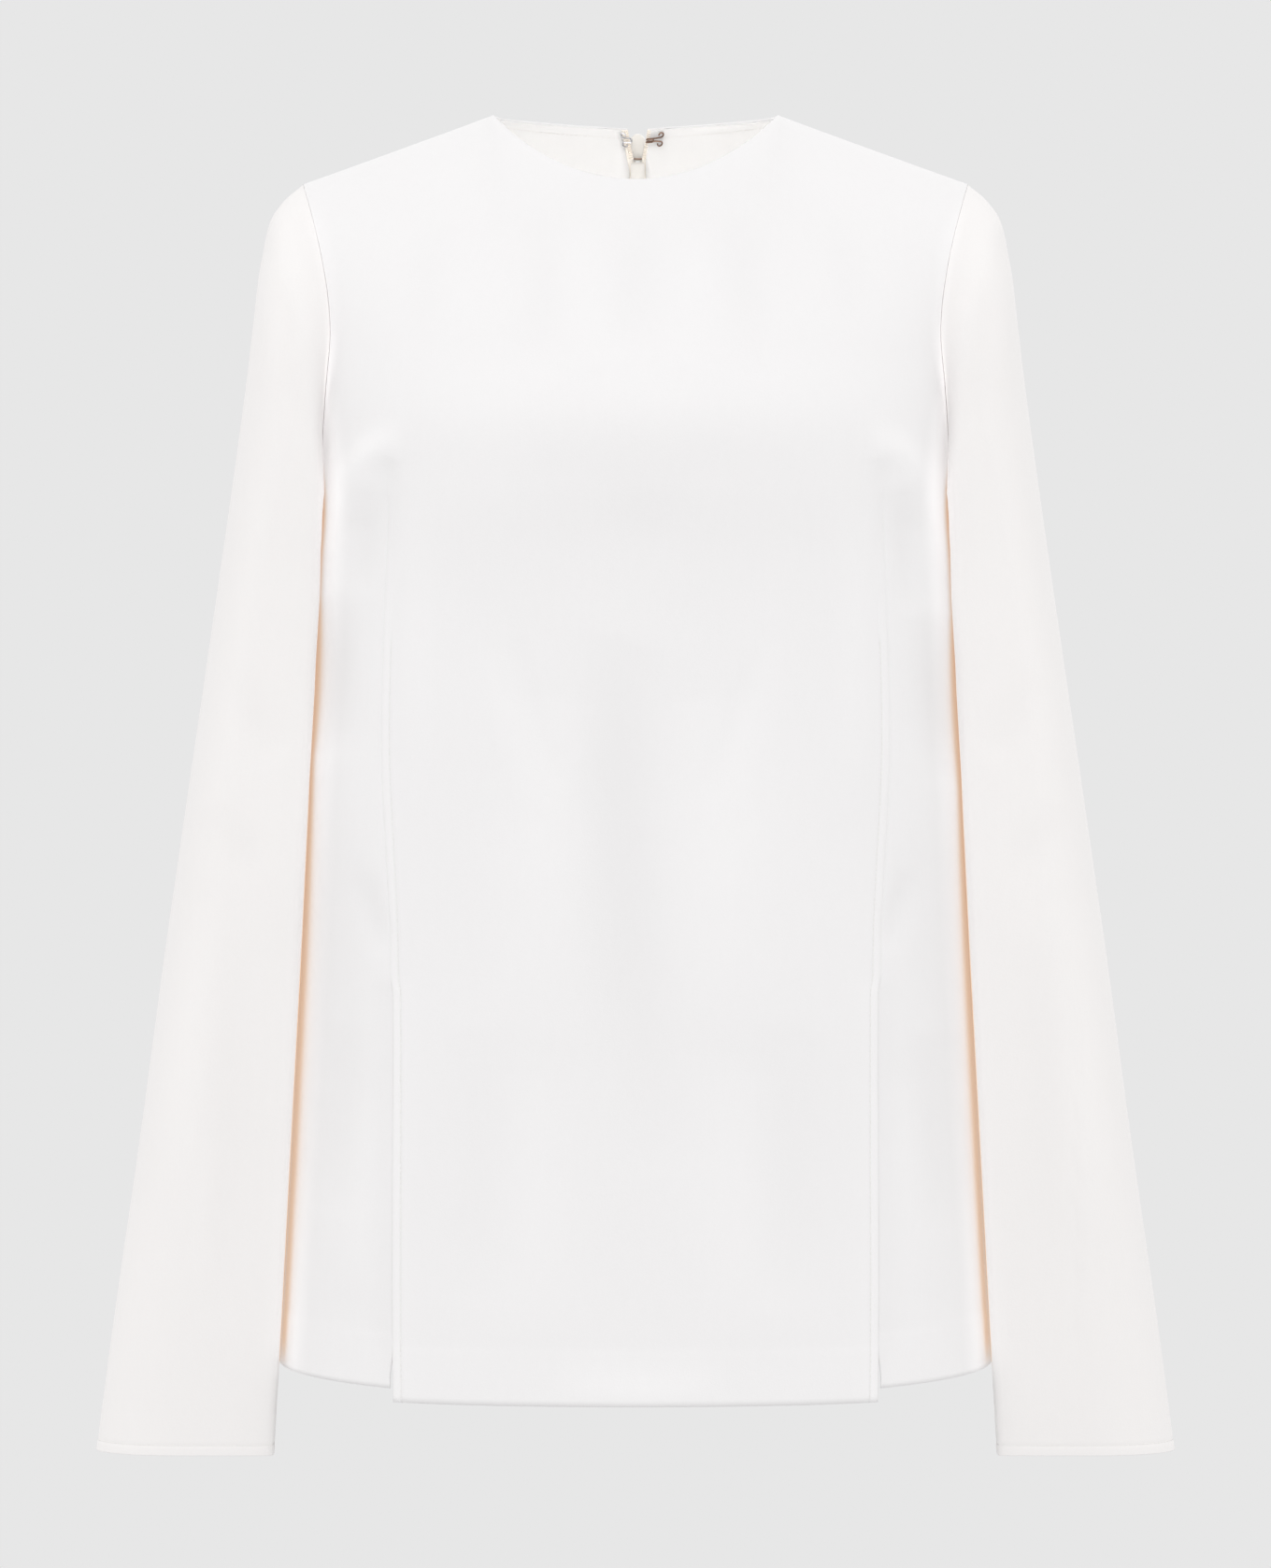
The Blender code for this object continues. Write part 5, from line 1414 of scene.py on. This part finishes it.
class BlouseZip(bpy.types.PropertyGroup):
    """Zip, hook and eye."""

    tape: FloatVectorProperty(
        name="Tape", description="Colour of the woven zip tape",
        default=(0.87, 0.83, 0.77), **TINT,
    )
    coil: FloatVectorProperty(
        name="Coil", description="Colour of the nylon coil",
        default=(0.87, 0.80, 0.71), **TINT,
    )
    enamel: FloatVectorProperty(
        name="Slider and pull", description="Colour of the painted slider and its pull tab",
        default=(0.80, 0.78, 0.74), **TINT,
    )
    bronze: FloatVectorProperty(
        name="Hook", description="Colour of the hook's wire",
        default=(0.25, 0.165, 0.125), **TINT,
    )
    nickel: FloatVectorProperty(
        name="Eye", description="Colour of the eye's wire",
        default=(0.62, 0.62, 0.64), **TINT,
    )
    pitch: FloatProperty(
        name="Coil pitch",
        description="Distance from one turn of the coil to the next",
        default=0.0012,
        min=0.0008,
        max=0.003,
        subtype="DISTANCE",
    )


class BlouseStage(bpy.types.PropertyGroup):
    """Floor and light."""

    surround: FloatVectorProperty(
        name="Surround", description="Colour of the floor and of what lies behind",
        default=(0.799, 0.799, 0.799), **TINT,
    )
    sky: FloatProperty(
        name="Light from above", description="Even light from overhead", default=1.2, min=0, max=5
    )
    ground: FloatProperty(
        name="Light from below", description="Even light from the floor", default=1.0, min=0, max=5
    )
    key: FloatProperty(
        name="Key light",
        description="Power of the large soft light above the front",
        default=30.0,
        min=0,
        subtype="POWER",
    )


# ---------------------------------------------------------------- operators


class BLOUSE_OT_front(bpy.types.Operator):
    """Make the front with its darts, slits and folds"""

    bl_idname = "blouse.front"
    bl_label = "Front"

    def execute(self, context):
        cloth = context.scene.blouse_cloth
        front = front_panel(cloth.fold_strength)
        outer = front["grid"]
        inner = inner_side(outer, front["normals"], front["wall"])
        tones = body_tones(outer, front["relief"])
        finish = wool_material("ivory wool", cloth.wool, cloth.glow)
        join = {"weld": front["weld"], "gaps": front["gaps"]}
        made = shell("front_cloth", outer, inner, finish, tones=tones, **join)
        finish_piece(made, BODY, ["front"])
        return {"FINISHED"}


class BLOUSE_OT_backs(bpy.types.Operator):
    """Make both halves of the back"""

    bl_idname = "blouse.backs"
    bl_label = "Backs"

    def execute(self, context):
        cloth = context.scene.blouse_cloth
        finish = wool_material("ivory wool", cloth.wool, cloth.glow)
        for name, hand in HANDS:
            back = back_panel(hand, cloth.fold_strength)
            outer = back["grid"]
            inner = inner_side(outer, back["normals"], np.full(outer.shape[:2], WALL))
            tones = body_tones(outer, back["relief"])
            made = handed_shell(hand, "back_" + name + "_cloth", outer, inner, finish, tones)
            finish_piece(made, BODY, ["back_" + name])
        return {"FINISHED"}


class BLOUSE_OT_sleeves(bpy.types.Operator):
    """Make both sleeves with their turned hems"""

    bl_idname = "blouse.sleeves"
    bl_label = "Sleeves"

    def execute(self, context):
        cloth = context.scene.blouse_cloth
        finish = wool_material("sleeve wool", cloth.sleeves, cloth.glow)
        for name, hand in HANDS:
            sleeve = sleeve_panel(hand, cloth.fold_strength)
            outer = sleeve["grid"]
            inner = outer - cap_wall(sleeve) * sleeve["wall"][..., None]
            label = "sleeve_" + name
            tones = sleeve_tones(sleeve)
            made = handed_shell(hand, label + "_cloth", outer, inner, finish, tones, wrapped=True)
            finish_piece(made, BODY, [label])
        return {"FINISHED"}


def facing_grid(hand, outer, normals):
    """Inner and outer points of half the back-neck facing, under the back's own cloth."""
    last = int(np.argmin(np.abs(np.abs(outer[0, :, 0]) - FACING_END_X)))
    columns = np.arange(1, last + 1)
    depth = distances(outer, 0)
    rows = np.arange(len(depth))
    fall = FACING_DEPTH - FACING_CORNER_RISE * ease(0.55, 1.0, columns / last)
    low = np.array([np.interp(d, depth[:, j], rows) for j, d in zip(columns, fall)])
    top = np.interp(LAYER_GAP, depth[:, 1], rows)
    share = np.linspace(0.0, 1.0, FACING_ROWS)[:, None]
    row = top + share * (low - top)
    edge = zip_half_gap(sample_grid(outer, row[:, :1], np.ones((FACING_ROWS, 1)))[..., 2])
    edge = np.maximum(edge + FACING_SETBACK[hand], FACING_MIN_SETBACK) + hand * ZIP_X
    level = np.repeat(row[:, :1], last, axis=1)
    across = np.abs(sample_grid(outer, level, columns + 0.0 * row)[..., 0])
    first = np.array([np.interp(e, a, columns) for e, a in zip(edge[:, 0], across)])[:, None]
    column = first + (columns - 1) / (last - 1) * (last - first)
    row = top + share * (np.interp(column, columns, low) - top)
    here = sample_grid(outer, row, column)
    out = unit(sample_grid(normals, row, column))
    raised = ease(*FACING_RAISE, np.abs(here[..., 0] - ZIP_X))
    drop = distances(here, 0)
    joined = ease(FACING_JOIN, 0.0, drop) * (1 - raised) * (FACING_FLAT - WALL - FACING_TOUCH)
    down = FACING_FLAT - joined + (FACING_RAISED - FACING_FLAT) * raised
    sink = -groove(drop[-1] - drop, *FACING_EDGE)
    face = here - out * (down + sink)[..., None]
    back = here - out * (down + FACING_WALL - sink)[..., None]
    back = back - out * groove(drop - UNDERSTITCH_DROP, *UNDERSTITCH_GROOVE)[..., None]
    stitch_row = np.interp(UNDERSTITCH_DROP, drop[:, 3], np.arange(FACING_ROWS))
    stitches = sample_grid(back, np.full(last, stitch_row), np.arange(last) + 0.0)
    return face, back, stitches, -unit(out[0])


class BLOUSE_OT_facings(bpy.types.Operator):
    """Make the back-neck facing with its row of understitching"""

    bl_idname = "blouse.facings"
    bl_label = "Neck facing"

    def execute(self, context):
        cloth, thread = context.scene.blouse_cloth, context.scene.blouse_thread
        finish = wool_material("facing cloth", cloth.facing, cloth.glow, 0.8)
        paths = []
        for name, hand in HANDS:
            panel = back_panel(hand, cloth.fold_strength)
            out = plumb(panel["grid"], panel["normals"])
            face, back, stitches, outward = facing_grid(hand, panel["grid"], out)
            made = handed_shell(hand, "neck_facing_" + name + "_cloth", face, back, finish)
            finish_piece(made, BODY, ["neck_facing_" + name])
            lifted = stitches + outward * UNDERSTITCH_LIFT * thread.width
            paths.append(stitch_path("understitch path", lifted, outward))
        made = sew("understitching", paths, thread)
        finish_piece(made, BODY)
        return {"FINISHED"}


def sew(name, paths, thread):
    """Rows of stitches along paths, in the thread that the settings give."""
    sizes = {
        "Pitch": thread.pitch,
        "Length": thread.length,
        "Width": thread.width,
        "Thickness": 0.75 * thread.width,
    }
    tree = along_path_tree(name, thread_element)
    return repeat_along(name, paths, tree, sizes, nylon_material("thread", thread.colour, 0.6))


class BLOUSE_OT_topstitching(bpy.types.Operator):
    """Sew the rows beside the darts and above the sleeve hems"""

    bl_idname = "blouse.topstitching"
    bl_label = "Topstitching"

    def execute(self, context):
        strength = context.scene.blouse_cloth.fold_strength
        thread = context.scene.blouse_thread
        lift = STITCH_LIFT * thread.width
        paths = []
        front = front_panel(strength)
        for column in front["stitch_columns"]:
            line, out = front["grid"][:, column], front["normals"][:, column]
            used = (line[:, 2] < STITCH_TOP_Z) & (line[:, 2] > line[-1, 2] + 0.001)
            lifted = line[used] + out[used] * lift
            paths.append(stitch_path("dart stitch path", lifted, out[used]))
        ring = np.arange(SLEEVE_COLUMNS + 1) % SLEEVE_COLUMNS
        for _, hand in HANDS:
            sleeve = sleeve_panel(hand, strength)
            row = sleeve["stitch_row"]
            out = sleeve["normals"][row, ring]
            lifted = sleeve["grid"][row, ring] + out * lift
            paths.append(stitch_path("hem stitch path", lifted, out))
        made = sew("topstitching", paths, thread)
        finish_piece(made, BODY)
        return {"FINISHED"}


def zip_strip(hand, offsets, first_z, last_z, depth, count):
    """Points under the back beside the zip: one column for each offset from its edge."""
    panel = back_panel(hand, 1.0)
    outer, normals = panel["grid"], panel["normals"]
    heights = np.linspace(first_z, last_z, count)
    rows = np.interp(-heights, -outer[:, 0, 2], np.arange(outer.shape[0]))
    columns = np.broadcast_to(np.arange(ZIP_COLUMNS) + 0.0, (count, ZIP_COLUMNS))
    rows = np.broadcast_to(rows[:, None], (count, ZIP_COLUMNS))
    here, out = sample_grid(outer, rows, columns), sample_grid(normals, rows, columns)
    x = hand * here[..., 0]
    wanted = x[:, :1] + np.asarray(offsets)
    at = np.array([np.interp(w, a, np.arange(ZIP_COLUMNS)) for w, a in zip(wanted, x)])
    stay = np.broadcast_to(np.arange(count)[:, None] + 0.0, at.shape)
    here, out = sample_grid(here, stay, at), unit(sample_grid(out, stay, at))
    return here - out * depth, out


class BLOUSE_OT_zip(bpy.types.Operator):
    """Make the zip's tapes and coil, and finish its slider and pull tab"""

    bl_idname = "blouse.zip"
    bl_label = "Zip"

    def execute(self, context):
        settings = context.scene.blouse_zip
        # The tape and coil get a painted glow that lightens their shade
        tape = twill_material("zip tape", settings.tape, 0.8)
        coil = nylon_material("zip coil", settings.coil, 0.45, painted_glow(settings.coil))
        enamel = enamel_material("cream enamel", settings.enamel)
        offsets = LAYER_GAP / 2 + TAPE_WIDTH * np.linspace(0, 1, 9)
        paths = []
        for name, hand in HANDS:
            face, out = zip_strip(hand, offsets, TAPE_TOP_Z, ZIP_END_Z, WALL + TAPE_GAP, 90)
            back = face - out * TAPE_WALL
            made = handed_shell(hand, "zip_tape_" + name + "_cloth", face, back, tape)
            finish_piece(made, BODY, ["zip_tape_" + name])
            for label, *run in COIL_RUNS:
                points, out = zip_strip(hand, [COIL_INSET], *run)
                paths.append(stitch_path(label, points[:, 0], out[:, 0]))
        tree = along_path_tree("zip coil", coil_element)
        sizes = {"Pitch": settings.pitch, **COIL_SIZES}
        made = repeat_along("zip_coil", paths, tree, sizes, coil)
        finish_piece(made, BODY, ["zip_chain"])
        for node in ("zip_slider", "zip_pull"):
            paint_node(node, enamel)
        bright = [part * BAIL_SHINE for part in settings.bronze]
        made = pull_bail(metal_material("bronze bail", bright, 0.35))
        finish_piece(made, TAB)
        return {"FINISHED"}


def pull_bail(material):
    """The short closed wire across the foot of the pull tab, with eased ends."""
    turn = np.arange(BAIL_SIDES) * 2 * math.pi / BAIL_SIDES
    points = np.array(
        [
            (end * BAIL_LENGTH / 2, size * BAIL_RADIUS * np.cos(t), size * BAIL_RADIUS * np.sin(t))
            for end, size in BAIL_RINGS
            for t in turn
        ]
    )
    around = np.arange(BAIL_SIDES)
    after = (around + 1) % BAIL_SIDES
    faces = [
        (first + j, first + k, first + BAIL_SIDES + k, first + BAIL_SIDES + j)
        for first in range(0, len(points) - BAIL_SIDES, BAIL_SIDES)
        for j, k in zip(around, after)
    ]
    faces.append(tuple(around[::-1]))
    faces.append(tuple(around + len(points) - BAIL_SIDES))
    mesh = bpy.data.meshes.new("pull_bail")
    mesh.from_pydata((points + BAIL_CENTRE).tolist(), [], faces)
    mesh.polygons.foreach_set("use_smooth", [len(face) == 4 for face in faces])
    mesh.materials.append(material)
    return add_object("pull_bail", mesh)


def paint_node(name, material):
    """Give a carried-over solid its finish."""
    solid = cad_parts[name]
    for slot in solid.material_slots:
        slot.material = material
    if not solid.material_slots:
        solid.data.materials.append(material)


class BLOUSE_OT_fastenings(bpy.types.Operator):
    """Finish the hook and eye at the neck"""

    bl_idname = "blouse.fastenings"
    bl_label = "Hook and eye"

    def execute(self, context):
        settings = context.scene.blouse_zip
        paint_node("hook", metal_material("dark bronze wire", settings.bronze, 0.32))
        paint_node("eye", metal_material("nickel wire", settings.nickel, 0.28))
        return {"FINISHED"}


class BLOUSE_OT_stage(bpy.types.Operator):
    """Set up the floor, the light and the camera"""

    bl_idname = "blouse.stage"
    bl_label = "Floor, light and camera"

    def execute(self, context):
        scene = context.scene
        settings = scene.blouse_stage
        scene.view_settings.view_transform = "Standard"
        plan = np.array([[-1, -1], [1, -1], [1, 1], [-1, 1]]) * FLOOR_HALF
        points = np.column_stack([plan, np.full(4, FLOOR_Z)])
        finish = floor_material(settings.surround, 1.0)
        floor = mesh_object("floor", points, np.array([[0, 1, 2, 3]]), finish)
        floor.visible_diffuse = False
        make_world(scene, settings)
        for light in LIGHTS:
            area_light(light, settings.key * light.share)
        make_camera(scene)
        return {"FINISHED"}


def make_world(scene, settings):
    """Even light all round; what shows behind the blouse keeps the floor's colour."""
    world = bpy.data.worlds.new("studio")
    scene.world = world
    world.use_nodes = True
    world.node_tree.nodes.clear()
    tree = Tree(world.node_tree)
    plain = {"Color": (*settings.surround, 1.0), "Strength": 1.0}
    seen = tree.add("ShaderNodeBackground", plain)
    towards = tree.add("ShaderNodeTexCoord").outputs["Generated"]
    height = tree.value(tree.add("ShaderNodeSeparateXYZ", {0: towards}), "Z")
    sky, ground = settings.sky, settings.ground
    strength = height * ((sky - ground) / 2) + (sky + ground) / 2
    lit = tree.add("ShaderNodeBackground", {"Strength": strength})
    path = tree.add("ShaderNodeLightPath")
    mixed = {0: path.outputs["Is Camera Ray"], 1: lit, 2: seen}
    tree.add("ShaderNodeOutputWorld", {"Surface": tree.add("ShaderNodeMixShader", mixed)})


def make_camera(scene):
    """A long lens, level with the middle of the blouse and straight in front of it."""
    data = bpy.data.cameras.new("camera")
    data.sensor_width = SENSOR_WIDTH
    data.lens = SENSOR_WIDTH * CAMERA_DISTANCE / VIEW_HEIGHT
    data.clip_end = 2000.0
    camera = add_object("camera", data)
    camera.location = (0.0, -CAMERA_DISTANCE, VIEW_CENTRE_Z)
    camera.rotation_euler = (math.pi / 2, 0.0, 0.0)
    scene.camera = camera


def area_light(light, power):
    """A square light that faces its aim and isn't itself seen."""
    data = bpy.data.lights.new(light.name, "AREA")
    data.size = light.size
    data.energy = power
    data.color = light.colour
    made = add_object(light.name, data)
    made.location = light.place
    made.rotation_mode = "QUATERNION"
    towards = Vector(light.aim) - Vector(light.place)
    made.rotation_quaternion = towards.to_track_quat("-Z", "Y")
    made.visible_camera = False


class BLOUSE_PT_panel(bpy.types.Panel):
    """Lists the blouse's pieces and settings"""

    bl_label = "Wool blouse"
    bl_idname = "BLOUSE_PT_panel"
    bl_space_type = "VIEW_3D"
    bl_region_type = "UI"
    bl_category = "Blouse"

    def draw(self, context):
        for group in ("blouse_cloth", "blouse_thread", "blouse_zip", "blouse_stage"):
            settings = getattr(context.scene, group)
            box = self.layout.box()
            for name in settings.__annotations__:
                box.prop(settings, name)
        for operator in OPERATORS:
            self.layout.operator(operator.bl_idname)


GROUPS = {
    "blouse_cloth": BlouseCloth,
    "blouse_thread": BlouseThread,
    "blouse_zip": BlouseZip,
    "blouse_stage": BlouseStage,
}
OPERATORS = (
    BLOUSE_OT_front,
    BLOUSE_OT_backs,
    BLOUSE_OT_sleeves,
    BLOUSE_OT_facings,
    BLOUSE_OT_zip,
    BLOUSE_OT_fastenings,
    BLOUSE_OT_topstitching,
    BLOUSE_OT_stage,
)


def register():
    """Add the settings, the operators and the panel."""
    for name, group in GROUPS.items():
        bpy.utils.register_class(group)
        setattr(bpy.types.Scene, name, PointerProperty(type=group))
    for operator in OPERATORS:
        bpy.utils.register_class(operator)
    bpy.utils.register_class(BLOUSE_PT_panel)


def unregister():
    """Take them away again."""
    bpy.utils.unregister_class(BLOUSE_PT_panel)
    for operator in reversed(OPERATORS):
        bpy.utils.unregister_class(operator)
    for name, group in GROUPS.items():
        delattr(bpy.types.Scene, name)
        bpy.utils.unregister_class(group)


def main():
    """Make every piece in order."""
    register()
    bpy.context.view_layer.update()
    bpy.ops.blouse.front()
    bpy.ops.blouse.backs()
    bpy.ops.blouse.sleeves()
    bpy.ops.blouse.facings()
    bpy.ops.blouse.zip()
    bpy.ops.blouse.fastenings()
    bpy.ops.blouse.topstitching()
    bpy.ops.blouse.stage()


if __name__ == "__main__":
    main()
